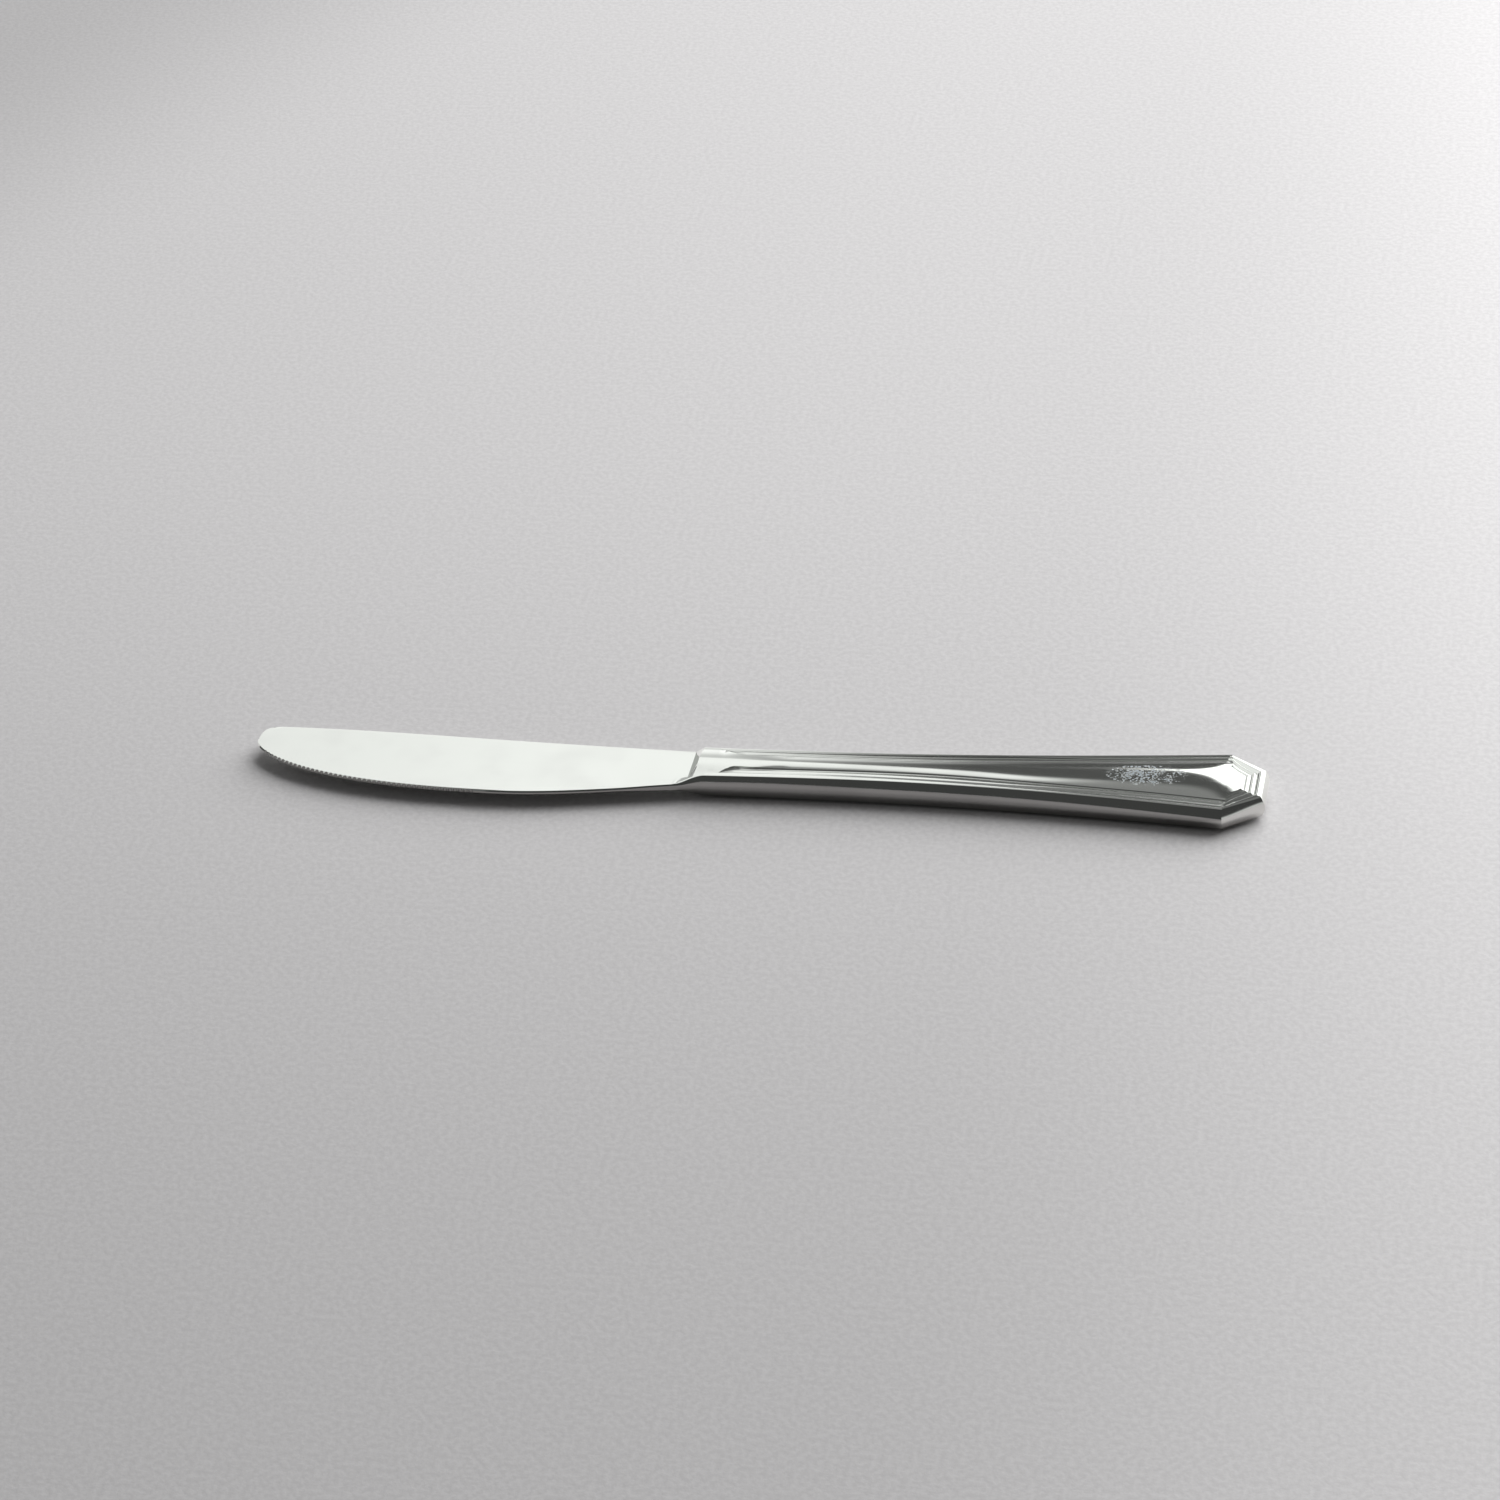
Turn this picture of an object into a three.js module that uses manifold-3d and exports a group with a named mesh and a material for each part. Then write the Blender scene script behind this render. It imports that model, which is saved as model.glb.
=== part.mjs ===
// Dessert knife with a hollow handle: a forged blade with its bolster and tang, two stamped half
// shells, and the cement core that holds the tang inside them. Lengths are in millimetres.
// The knife lies flat on its handle: +X runs from the tip to the butt, +Y is towards the back of
// the blade and +Z is up. The origin is on the table, under the middle of the knife.

import * as THREE from "three";
import { mergeVertices } from "three/addons/utils/BufferGeometryUtils.js";
import Module from "manifold-3d";

const wasm = await Module();
wasm.setup();

// Lengths along the knife
const bladeLength = 92.9;
const bolsterLength = 5.4;
const handleLength = 110;

// Handle in plan: a slim waist that flares to a butt with two cut corners and a straight end
const neckWidth = 10.9;
const neckTaper = -0.012;
const neckReach = 40;
const buttWidth = 20.1;
const buttFlare = 0.1;
const buttReach = 36;
const cornerCutLength = 7.8;
const buttEndWidth = 9.5;

// Handle in section: thickness over the crowned faces and at the rim's crest, and the drafted side below it
const handleThickness = 6.5;
const rimThicknessNeck = 5.2;
const rimThicknessMiddle = 5.75;
const rimThicknessButt = 4.7;
const seamLand = 0.2;
const crestStepNeck = 1.6;
const crestStepButt = 1.4;
const crestRoundNeck = 0.9;
const crestRoundWaist = 0.75;
const crestRoundButt = 0.5;
const crestSharpening = 38;
const crestLean = 0.6;
const sideSteepnessNeck = 2.4;
const sideSteepnessButt = 2;
const restLandWidth = 1.8;
const panelEndFall = 13;

// Moulded border inside the rim: a groove, a bead, a quirk, a leaning second bead, a valley and the riser
const grooveWidth = 0.3;
const grooveDepth = 0.14;
const beadWidth = 0.6;
const quirkWidth = 0.3;
const quirkDepth = 0.22;
const quirkFlankWidth = 0.15;
const slimBeadShare = 0.15;
const beadSpreadStart = 50;
const beadSpreadEnd = 84;
const secondBeadWidth = 0.6;
const secondBeadFoot = 0.08;
const secondBeadDrop = 0.02;
const valleyWidth = 0.22;
const valleyDepth = 0.1;
const riserWidth = 0.3;
const panelRise = 0.15;
const secondShareNeck = 1.1;
const secondShareMiddle = 1.85;
const secondShareButt = 1;
const secondSpreadStart = -2;
const secondSpreadEnd = 40;
const secondReturnStart = 42;
const secondReturnEnd = 80;
const scoopDepth = 0.3;
const scoopRiserWidth = 0.42;
const scoopLength = 7;
const plainNeckLength = 1.2;
const borderRunIn = 4.4;

// Stamped shells, cement core and tang
const shellWall = 0.5;
const coreClearance = 0.3;
const tangLength = 62;
const tangRootWidth = 4.6;
const tangEndWidth = 3.2;
const tangThickness = 1.4;
const tangOverlap = 1.2;

// Blade in plan
const spineHeelOffset = 5.38;
const spineMiddleOffset = 6.88;
const spineTopOffset = 9.05;
const spineTopSetback = 4.4;
const spineStraightReach = 26;
const noseShoulder = 1.4;
const noseDrop = 0.45;
const tipOffset = 4.5;
const tipFlat = 1.4;
const bellyOffset = 10.05;
const bellySetback = 55.5;
const bellyReach = 41;
const bellyLead = 1.5;
const bellyTipDrop = 5;
const heelReach = 15;
const heelLead = 5.1;

// Blade in section
const spineThicknessHeel = 2.0;
const spineThicknessTip = 1.4;
const spineRound = 0.3;
const edgeThickness = 0.5;
const bevelThickness = 1.0;
const bevelWidth = 0.3;
const heelEdgeThickness = 1.1;
const heelBevelThickness = 1.6;
const heelThickeningLength = 32;
const narrowSectionShare = 0.25;
const shoulderLength = 1.9;
const flareLength = 7;
const flareLeadOut = 2.1;

// Serrations along the belly, from beside the tip
const toothPitch = 1.1;
const toothDepth = 0.42;
const toothRadius = 0.5;
const toothCount = 45;
const firstToothDistance = 4.4;

// Fineness of the facets
const roundSteps = 5;
const crownSideSteps = 4;
const handleStations = 11;
const runInStations = 5;
const runInCrowding = 1.6;
const cornerCutSteps = 3;
const bladeStations = 26;
const noseStations = 7;
const flareStations = 4;
const flareColumns = 2;
const shoulderStations = 2;
const tangEndSteps = 8;
const toothSides = 12;
const curveSamples = 240;
const slopeSpan = 1;
const joinTolerance = 1e-5;
const overcut = 2;

// Places along X that the lengths give
const overallLength = bladeLength + bolsterLength + handleLength;
const tipX = -overallLength / 2;
const shoulderX = tipX + bladeLength;
const jointX = shoulderX + bolsterLength;
const buttX = jointX + handleLength;
const cornerX = buttX - cornerCutLength;
const flareEndX = shoulderX + shoulderLength + flareLeadOut;
const flareStartX = flareEndX - flareLength;
const borderStartX = jointX + plainNeckLength;
const crownHeight = handleThickness / 2;
const crownSteps = 2 * crownSideSteps + 1;

// Steel and cement
const polishedSteel = { color: 0xd9dbd6, metalness: 1, roughness: 0.08 };
const cement = { color: 0xa79f90, metalness: 0, roughness: 0.9 };

// Solids

/** One closed geometry from points and triangles, with equal points joined and empty triangles left out. */
function closedGeometry(points, triangles) {
  const raw = new THREE.BufferGeometry();
  raw.setAttribute("position", new THREE.Float32BufferAttribute(points.flatMap((p) => [p.x, p.y, p.z]), 3));
  raw.setIndex(triangles.flat());
  const merged = mergeVertices(raw, joinTolerance);
  const index = merged.getIndex().array;
  const kept = [];
  for (let i = 0; i < index.length; i += 3) {
    const [a, b, c] = [index[i], index[i + 1], index[i + 2]];
    if (a !== b && b !== c && c !== a) kept.push(a, b, c);
  }
  merged.setIndex(kept);
  return merged;
}

/** Manifold solid of a closed three.js geometry. */
function solidOf(geometry) {
  const bare = geometry.clone();
  bare.deleteAttribute("normal");
  bare.deleteAttribute("uv");
  const merged = mergeVertices(bare, joinTolerance);
  const vertProperties = new Float32Array(merged.getAttribute("position").array);
  const triVerts = new Uint32Array(merged.getIndex().array);
  return new wasm.Manifold(new wasm.Mesh({ numProp: 3, vertProperties, triVerts }));
}

/** Three.js geometry of a manifold solid. */
function geometryOf(solid) {
  const mesh = solid.getMesh();
  const geometry = new THREE.BufferGeometry();
  geometry.setAttribute("position", new THREE.BufferAttribute(new Float32Array(mesh.vertProperties), 3));
  geometry.setIndex(new THREE.BufferAttribute(new Uint32Array(mesh.triVerts), 1));
  geometry.computeVertexNormals();
  return geometry;
}

/** Two triangles over the quad a-b-c-d. */
function quad(a, b, c, d) {
  return [[a, b, c], [a, c, d]];
}

/** Value of a plan curve at a place along X, on a curve whose x only grows or only falls. */
function curveOffsetAt(samples, x) {
  for (let i = 0; i + 1 < samples.length; i += 1) {
    const [from, to] = [samples[i], samples[i + 1]];
    const inside = Math.min(from.x, to.x) <= x && x <= Math.max(from.x, to.x);
    if (inside && from.x !== to.x) return from.y + ((to.y - from.y) * (x - from.x)) / (to.x - from.x);
  }
  const nearest = Math.abs(samples[0].x - x) < Math.abs(samples.at(-1).x - x) ? samples[0] : samples.at(-1);
  return nearest.y;
}

// Handle: sizes that change along it

const sideCurve = new THREE.CubicBezierCurve(
  new THREE.Vector2(jointX, neckWidth / 2),
  new THREE.Vector2(jointX + neckReach, neckWidth / 2 + neckTaper * neckReach),
  new THREE.Vector2(cornerX - buttReach, buttWidth / 2 - buttFlare * buttReach),
  new THREE.Vector2(cornerX, buttWidth / 2),
);
const sideSamples = sideCurve.getPoints(curveSamples);

const rimCurve = new THREE.QuadraticBezierCurve(
  new THREE.Vector2(jointX, rimThicknessNeck / 2),
  new THREE.Vector2((jointX + buttX) / 2, rimThicknessMiddle - (rimThicknessNeck + rimThicknessButt) / 4),
  new THREE.Vector2(buttX, rimThicknessButt / 2),
);
const rimSamples = rimCurve.getPoints(curveSamples);

/** Half thickness of the rim at a place along X. */
function rimAt(x) {
  return curveOffsetAt(rimSamples, x);
}

/** Side of the handle at a place along X: steps in and heights from the seam's land to the crest. */
function sideSection(x) {
  const crestStep = THREE.MathUtils.mapLinear(x, jointX, buttX, crestStepNeck, crestStepButt);
  const sharpening = THREE.MathUtils.smoothstep(x, jointX, jointX + crestSharpening);
  const sharpRound = THREE.MathUtils.mapLinear(x, jointX, buttX, crestRoundWaist, crestRoundButt);
  const crestRound = THREE.MathUtils.lerp(crestRoundNeck, sharpRound, sharpening);
  const steepness = THREE.MathUtils.lerp(sideSteepnessNeck, sideSteepnessButt, sharpening);
  const crest = new THREE.Vector2(crestStep, rimAt(x));
  const top = new THREE.Vector2(crestStep - crestRound, rimAt(x) - (crestLean * crestRound) / 2);
  const bend = new THREE.Vector2(0, top.y - steepness * top.x);
  const side = new THREE.QuadraticBezierCurve(new THREE.Vector2(0, seamLand), bend, top);
  const over = new THREE.QuadraticBezierCurve(top, new THREE.Vector2(crestStep - crestRound / 2, crest.y), crest);
  return [...side.getPoints(roundSteps - 2), over.getPoint(0.5), crest];
}

/** Share of the way through the sweep that brings the border in from the edge of the neck. */
function borderRunAt(x) {
  return THREE.MathUtils.clamp((x - borderStartX) / borderRunIn, 0, 1);
}

/** Border at a place along X from the crest to the panel's edge, as steps in and rises. */
function borderSection(x) {
  const sweep = 1 - (1 - borderRunAt(x)) ** 2;
  const depth = Math.sqrt(sweep);
  const beadSpread = THREE.MathUtils.smoothstep(x, beadSpreadStart, beadSpreadEnd);
  const beadShare = sweep * THREE.MathUtils.lerp(slimBeadShare, 1, beadSpread);
  const secondSpread = THREE.MathUtils.smoothstep(x, secondSpreadStart, secondSpreadEnd);
  const secondReturn = THREE.MathUtils.smoothstep(x, secondReturnStart, secondReturnEnd);
  const widened = THREE.MathUtils.lerp(secondShareNeck, secondShareMiddle, secondSpread);
  const secondShare = sweep * THREE.MathUtils.lerp(widened, secondShareButt, secondReturn);
  const levelling = THREE.MathUtils.smoothstep(x, borderStartX, borderStartX + scoopLength);
  const valley = THREE.MathUtils.lerp(scoopDepth, valleyDepth, levelling);
  const riser = THREE.MathUtils.lerp(scoopRiserWidth, riserWidth, levelling) * Math.min(secondShare, 1);
  const widths = [
    [(grooveWidth / 2) * beadShare, -grooveDepth * beadSpread],
    [(grooveWidth / 2) * beadShare, 0],
    [beadWidth * beadShare, 0],
    [quirkWidth * sweep, -quirkDepth],
    [quirkFlankWidth * sweep, -secondBeadFoot],
    [secondBeadWidth * secondShare, -secondBeadDrop],
    [(valleyWidth / 2) * secondShare, -valley],
    [(valleyWidth / 2) * secondShare, -valley],
    [riser, panelRise],
  ];
  let across = 0;
  return widths.map(([width, rise]) => {
    across += width;
    return new THREE.Vector2(across, rise * depth);
  });
}

/** Direction of the handle's side at a place along X, as a rise for each unit of X. */
function sideSlopeAt(x) {
  const before = curveOffsetAt(sideSamples, x - slopeSpan / 2);
  const after = curveOffsetAt(sideSamples, x + slopeSpan / 2);
  return (after - before) / slopeSpan;
}

/** A row of places across the crown from one edge to the other, with the flat land in the middle. */
function crownPlaces(halfWidth) {
  const land = Math.min(restLandWidth / 2, halfWidth);
  const side = [];
  for (let j = 0; j <= crownSideSteps; j += 1) {
    const up = j / crownSideSteps;
    side.push({ offset: THREE.MathUtils.lerp(halfWidth, land, up), lift: 1 - (1 - up) ** 2 });
  }
  return [...side, ...side.map(({ offset, lift }) => ({ offset: -offset, lift })).reverse()];
}

/** Stations down one side of the handle, each with the inward step that keeps the border's width. */
function sideStations(startX) {
  const places = [jointX, borderStartX];
  for (let i = 1; i <= runInStations; i += 1) {
    places.push(borderStartX + borderRunIn * (i / runInStations) ** runInCrowding);
  }
  const runInEnd = places.at(-1);
  for (let i = 1; i <= handleStations; i += 1) {
    places.push(THREE.MathUtils.lerp(runInEnd, cornerX, i / (handleStations + 1)));
  }
  const stations = places.map((x, i) => {
    const inward = new THREE.Vector2(i === 0 ? 0 : sideSlopeAt(x), -1).normalize();
    return { x: i === 0 ? startX : x, y: curveOffsetAt(sideSamples, x), inward, sizeX: x };
  });
  const sideTurn = Math.atan(buttFlare);
  const cutTurn = -Math.atan2(buttWidth / 2 - buttEndWidth / 2, cornerCutLength);
  const endTurn = -Math.PI / 2;
  const mitre = (before, after) => {
    const middle = (before + after) / 2;
    const length = 1 / Math.cos((before - after) / 2);
    return new THREE.Vector2(Math.sin(middle) * length, -Math.cos(middle) * length);
  };
  stations.push({ x: cornerX, y: buttWidth / 2, inward: mitre(sideTurn, cutTurn), sizeX: cornerX });
  stations.push({ x: buttX, y: buttEndWidth / 2, inward: mitre(cutTurn, endTurn), sizeX: buttX });
  return stations;
}

/** The ring at one step of the section: down one side, along the cut corner, over the end and back. */
function ringAround(stations, stepIn, height) {
  const side = stations.map((s) => {
    const inset = stepIn(s.sizeX);
    return new THREE.Vector3(s.x + s.inward.x * inset, s.y + s.inward.y * inset, height(s.sizeX));
  });
  const end = side.pop();
  const corner = side.at(-1);
  for (let i = 1; i <= cornerCutSteps; i += 1) {
    side.push(corner.clone().lerp(end, i / cornerCutSteps));
  }
  const mirrored = side.map((p) => new THREE.Vector3(p.x, -p.y, p.z)).reverse();
  const across = [];
  for (let i = 1; i < crownSteps; i += 1) {
    across.push(side.at(-1).clone().lerp(mirrored[0], i / crownSteps));
  }
  return { points: [...side, ...across, ...mirrored], sideCount: side.length };
}

/** Surface of the handle above a floor: rings over the edge and the border, the panel and the neck end. */
function handleSurface(stations, steps, crown, floor) {
  const rings = [ringAround(stations, steps[0].stepIn, () => floor)];
  for (const step of steps) rings.push(ringAround(stations, step.stepIn, step.height));
  const count = rings[0].points.length;
  const sideCount = rings[0].sideCount;
  const points = rings.flatMap((ring) => ring.points);
  const triangles = [];
  for (let k = 0; k + 1 < rings.length; k += 1) {
    for (let j = 0; j + 1 < count; j += 1) {
      const below = k * count + j;
      const above = below + count;
      triangles.push(...quad(below + 1, below, above, above + 1));
    }
  }
  const last = (rings.length - 1) * count;
  const panelEnd = points[last + sideCount - 1].x;
  const rows = [];
  for (let i = 0; i < sideCount; i += 1) {
    const row = [last + i];
    const edge = points[last + i];
    const fall = THREE.MathUtils.clamp((edge.x - panelEnd + panelEndFall) / panelEndFall, 0, 1);
    const places = crownPlaces(edge.y);
    for (let j = 1; j < crownSteps; j += 1) {
      if (i === sideCount - 1) {
        row.push(last + i + j);
      } else {
        const rise = (crown - edge.z) * places[j].lift * (1 - fall ** 2);
        row.push(points.length);
        points.push(new THREE.Vector3(edge.x, places[j].offset, edge.z + rise));
      }
    }
    row.push(last + count - 1 - i);
    rows.push(row);
  }
  for (let i = 0; i + 1 < rows.length; i += 1) {
    for (let j = 0; j < crownSteps; j += 1) {
      triangles.push(...quad(rows[i][j], rows[i][j + 1], rows[i + 1][j + 1], rows[i + 1][j]));
    }
  }
  const right = (k, i) => k * count + i;
  const left = (k, i) => k * count + count - 1 - i;
  for (let k = 0; k + 1 < rings.length; k += 1) {
    triangles.push(...quad(right(k, 0), left(k, 0), left(k + 1, 0), right(k + 1, 0)));
  }
  for (let j = 1; j < crownSteps; j += 1) {
    triangles.push([rows[0][0], rows[0][j + 1], rows[0][j]]);
  }
  const floorTriangles = [];
  for (let i = 0; i + 2 < sideCount; i += 1) {
    floorTriangles.push(...quad(right(0, i + 1), left(0, i + 1), left(0, i), right(0, i)));
  }
  const beforeEnd = sideCount - 2;
  for (let j = beforeEnd + 1; j < count - 1 - beforeEnd; j += 1) {
    floorTriangles.push([right(0, beforeEnd), j, j + 1]);
  }
  return { points, triangles, floorTriangles };
}

/** Body between a flat floor and the surface above it. */
function halfBody({ points, triangles, floorTriangles }) {
  return closedGeometry(points, [...triangles, ...floorTriangles]);
}

/** Body of a surface that starts on the middle plane and the same surface mirrored below it. */
function wholeBody({ points, triangles }) {
  const below = points.map((p) => new THREE.Vector3(p.x, p.y, -p.z));
  const flipped = triangles.map(([a, b, c]) => [a + points.length, c + points.length, b + points.length]);
  return closedGeometry([...points, ...below], [...triangles, ...flipped]);
}

/** Steps of the outside section: the drafted side, the crest, the border and the edge of the panel. */
function outsideSteps() {
  const side = sideSection(jointX).map((_, i) => ({
    stepIn: (x) => sideSection(x)[i].x,
    height: (x) => sideSection(x)[i].y,
  }));
  const border = borderSection(jointX).map((_, i) => ({
    stepIn: (x) => sideSection(x).at(-1).x + borderSection(x)[i].x,
    height: (x) => rimAt(x) + borderSection(x)[i].y,
  }));
  return [...side, ...border];
}

/** Steps of the inside section, an inset within the outside one and plain under the border. */
function insideSteps(inset) {
  const middle = roundSteps - 3;
  const underBorder = quirkDepth + inset;
  const crestStep = (x) => sideSection(x).at(-1).x;
  return [
    { stepIn: () => inset, height: () => seamLand },
    { stepIn: (x) => sideSection(x)[middle].x + inset, height: (x) => sideSection(x)[middle].y - inset / 2 },
    { stepIn: (x) => crestStep(x) + inset / 2, height: (x) => rimAt(x) - underBorder },
    {
      stepIn: (x) => crestStep(x) + inset / 2 + borderSection(x).at(-2).x,
      height: (x) => rimAt(x) - underBorder,
    },
  ];
}

/** One stamped half shell, open towards the blade. */
function shellGeometry() {
  const insideCrown = crownHeight - shellWall;
  const outside = handleSurface(sideStations(jointX), outsideSteps(), crownHeight, 0);
  const insideStations = sideStations(jointX - overcut);
  const inside = handleSurface(insideStations, insideSteps(shellWall), insideCrown, -overcut);
  return geometryOf(solidOf(halfBody(outside)).subtract(solidOf(halfBody(inside))));
}

// Blade

const heelY = -neckWidth / 2;

const spineCurve = new THREE.CubicBezierCurve(
  new THREE.Vector2(shoulderX, spineHeelOffset),
  new THREE.Vector2(tipX + bladeLength / 2, spineMiddleOffset),
  new THREE.Vector2(tipX + spineTopSetback + spineStraightReach, spineTopOffset),
  new THREE.Vector2(tipX + spineTopSetback, spineTopOffset),
);
const noseCurve = new THREE.CubicBezierCurve(
  new THREE.Vector2(tipX + spineTopSetback, spineTopOffset),
  new THREE.Vector2(tipX + noseShoulder, spineTopOffset),
  new THREE.Vector2(tipX, spineTopOffset - noseDrop),
  new THREE.Vector2(tipX, tipOffset + tipFlat / 2),
);
const spineSamples = [...spineCurve.getPoints(curveSamples), ...noseCurve.getPoints(curveSamples)];

const bellyCurve = new THREE.CubicBezierCurve(
  new THREE.Vector2(tipX, tipOffset - tipFlat / 2),
  new THREE.Vector2(tipX + bellyLead, tipOffset - bellyTipDrop),
  new THREE.Vector2(tipX + bellySetback - bellyReach, -bellyOffset),
  new THREE.Vector2(tipX + bellySetback, -bellyOffset),
);
const heelCurve = new THREE.CubicBezierCurve(
  new THREE.Vector2(tipX + bellySetback, -bellyOffset),
  new THREE.Vector2(tipX + bellySetback + heelReach, -bellyOffset),
  new THREE.Vector2(shoulderX - heelLead, heelY),
  new THREE.Vector2(jointX, heelY),
);
const edgeSamples = [...bellyCurve.getPoints(curveSamples), ...heelCurve.getPoints(curveSamples)];

/** Section of the bolster at the joint, from the edge side to the back, above the middle plane. */
function bolsterSection() {
  const side = sideSection(jointX).map((p) => new THREE.Vector2(p.x - neckWidth / 2, p.y));
  const crest = side.at(-1);
  const crown = crownPlaces(-crest.x).slice(1, -1);
  const face = crown.map(({ offset, lift }) => new THREE.Vector2(-offset, crest.y + (crownHeight - crest.y) * lift));
  const back = side.map((p) => new THREE.Vector2(-p.x, p.y));
  return [...side, ...face, ...back.reverse()];
}

/** Section of the blade at a place along X, with as many points as the bolster's and in the same order. */
function bladeSection(x) {
  const edgeY = curveOffsetAt(edgeSamples, x);
  const spineY = curveOffsetAt(spineSamples, Math.min(x, shoulderX));
  const heel = THREE.MathUtils.smoothstep(x, shoulderX - heelThickeningLength, shoulderX);
  const spine = THREE.MathUtils.mapLinear(x, tipX, shoulderX, spineThicknessTip, spineThicknessHeel) / 2;
  const edge = THREE.MathUtils.lerp(edgeThickness, heelEdgeThickness, heel) / 2;
  const bevelTop = THREE.MathUtils.lerp(bevelThickness, heelBevelThickness, heel) / 2;
  const chord = spineY - edgeY;
  const bevel = Math.min(bevelWidth, chord * narrowSectionShare);
  const round = Math.min(spineRound, chord * narrowSectionShare);
  const points = [];
  for (let i = 0; i <= roundSteps; i += 1) {
    const up = i / roundSteps;
    points.push(new THREE.Vector2(edgeY + bevel * up, THREE.MathUtils.lerp(edge, bevelTop, up)));
  }
  for (let j = 1; j < crownSteps; j += 1) {
    const up = j / crownSteps;
    const y = THREE.MathUtils.lerp(edgeY + bevel, spineY - round, up);
    points.push(new THREE.Vector2(y, THREE.MathUtils.lerp(bevelTop, spine, up)));
  }
  for (let i = 0; i <= roundSteps; i += 1) {
    const angle = (Math.PI / 2) * (1 - i / roundSteps);
    const y = spineY - round * (1 - Math.cos(angle));
    points.push(new THREE.Vector2(y, spine - round * (1 - Math.sin(angle))));
  }
  return points;
}

/** Section between blade and bolster: the back steps up at the shoulder, the edge side flares smoothly. */
function blendedSection(x) {
  const blade = bladeSection(x);
  const bolster = bolsterSection();
  const flare = THREE.MathUtils.smoothstep(x, flareStartX, flareEndX);
  const step = THREE.MathUtils.clamp((x - shoulderX) / shoulderLength, 0, 1);
  return blade.map((p, i) => {
    const towardsBack = THREE.MathUtils.smoothstep(i, roundSteps, roundSteps + flareColumns);
    return p.clone().lerp(bolster[i], THREE.MathUtils.lerp(flare, step, towardsBack));
  });
}

/** Places of the sections, close together round the nose and at the shoulder. */
function bladePlaces() {
  const places = [];
  const noseEnd = tipX + spineTopSetback;
  for (let i = 0; i < noseStations; i += 1) {
    places.push(tipX + spineTopSetback * (1 - Math.cos((Math.PI / 2) * (i / noseStations))));
  }
  for (let i = 0; i < bladeStations; i += 1) {
    places.push(THREE.MathUtils.lerp(noseEnd, flareStartX, i / bladeStations));
  }
  for (let i = 0; i < flareStations; i += 1) {
    places.push(THREE.MathUtils.lerp(flareStartX, shoulderX, i / flareStations));
  }
  for (let i = 0; i <= shoulderStations; i += 1) {
    places.push(shoulderX + shoulderLength * (i / shoulderStations));
  }
  return [...places, flareEndX, jointX];
}

/** Blade and bolster as one lofted forging, plain at the edge. */
function forgingGeometry() {
  const sections = bladePlaces().map((x) => {
    const upper = blendedSection(x);
    const ring = [...upper, ...upper.map((p) => new THREE.Vector2(p.x, -p.y)).reverse()];
    return { x, ring };
  });
  const count = sections[0].ring.length;
  const points = sections.flatMap(({ x, ring }) => ring.map((p) => new THREE.Vector3(x, p.x, p.y)));
  const triangles = [];
  for (let s = 0; s + 1 < sections.length; s += 1) {
    for (let j = 0; j < count; j += 1) {
      const next = (j + 1) % count;
      triangles.push(...quad(s * count + j, (s + 1) * count + j, (s + 1) * count + next, s * count + next));
    }
  }
  const jointBase = count * (sections.length - 1);
  for (let i = 0; i + 1 < count / 2; i += 1) {
    const under = count - 1 - i;
    triangles.push(...quad(i, i + 1, under - 1, under));
    triangles.push(...quad(jointBase + i, jointBase + under, jointBase + under - 1, jointBase + i + 1));
  }
  return closedGeometry(points, triangles);
}

/** Flat tapered bar along +X with a round end, grown by a clearance on every side. */
function tangGeometry(startX, clearance) {
  const root = tangRootWidth / 2 + clearance;
  const end = tangEndWidth / 2 + clearance;
  const roundX = jointX + tangLength - tangEndWidth / 2;
  const outline = new THREE.Shape();
  outline.moveTo(startX, -root);
  outline.lineTo(roundX, -end);
  outline.absarc(roundX, 0, end, -Math.PI / 2, Math.PI / 2, false);
  outline.lineTo(startX, root);
  outline.closePath();
  const thickness = tangThickness + 2 * clearance;
  const extrusion = { depth: thickness, bevelEnabled: false, curveSegments: tangEndSteps };
  return new THREE.ExtrudeGeometry(outline, extrusion).translate(0, 0, -thickness / 2);
}

/** Gullets between the teeth: one upright cutter for each, at an even pitch along the belly. */
function gulletGeometries() {
  const length = bellyCurve.getLength();
  return Array.from({ length: toothCount }, (_, i) => {
    const along = (firstToothDistance + i * toothPitch) / length;
    const place = bellyCurve.getPointAt(along);
    const direction = bellyCurve.getTangentAt(along);
    const outward = new THREE.Vector2(direction.y, -direction.x);
    const centre = place.clone().addScaledVector(outward, toothRadius - toothDepth);
    const cutter = new THREE.CylinderGeometry(toothRadius, toothRadius, 2 * overcut, toothSides);
    return cutter.rotateX(Math.PI / 2).translate(centre.x, centre.y, 0);
  });
}

/** The whole forging: serrated blade, bolster and tang. */
function bladeGeometry() {
  let forging = solidOf(forgingGeometry());
  for (const gullet of gulletGeometries()) forging = forging.subtract(solidOf(gullet));
  return geometryOf(forging.add(solidOf(tangGeometry(jointX - tangOverlap, 0))));
}

/** Cement core: the inside of both shells less a clearance, with the slot that the tang sits in. */
function coreGeometry() {
  const inset = shellWall + coreClearance;
  const stations = sideStations(jointX + coreClearance);
  const surface = handleSurface(stations, insideSteps(inset), crownHeight - inset, 0);
  const slot = tangGeometry(jointX - overcut, coreClearance);
  return geometryOf(solidOf(wholeBody(surface)).subtract(solidOf(slot)));
}

/** Named mesh with a finish of its own. */
function piece(name, geometry, finish) {
  const mesh = new THREE.Mesh(geometry, new THREE.MeshStandardMaterial(finish));
  mesh.name = name;
  return mesh;
}

// Assembly: the middle plane of the knife lies half a handle above the table

const knife = new THREE.Group();
knife.position.z = handleThickness / 2;

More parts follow.
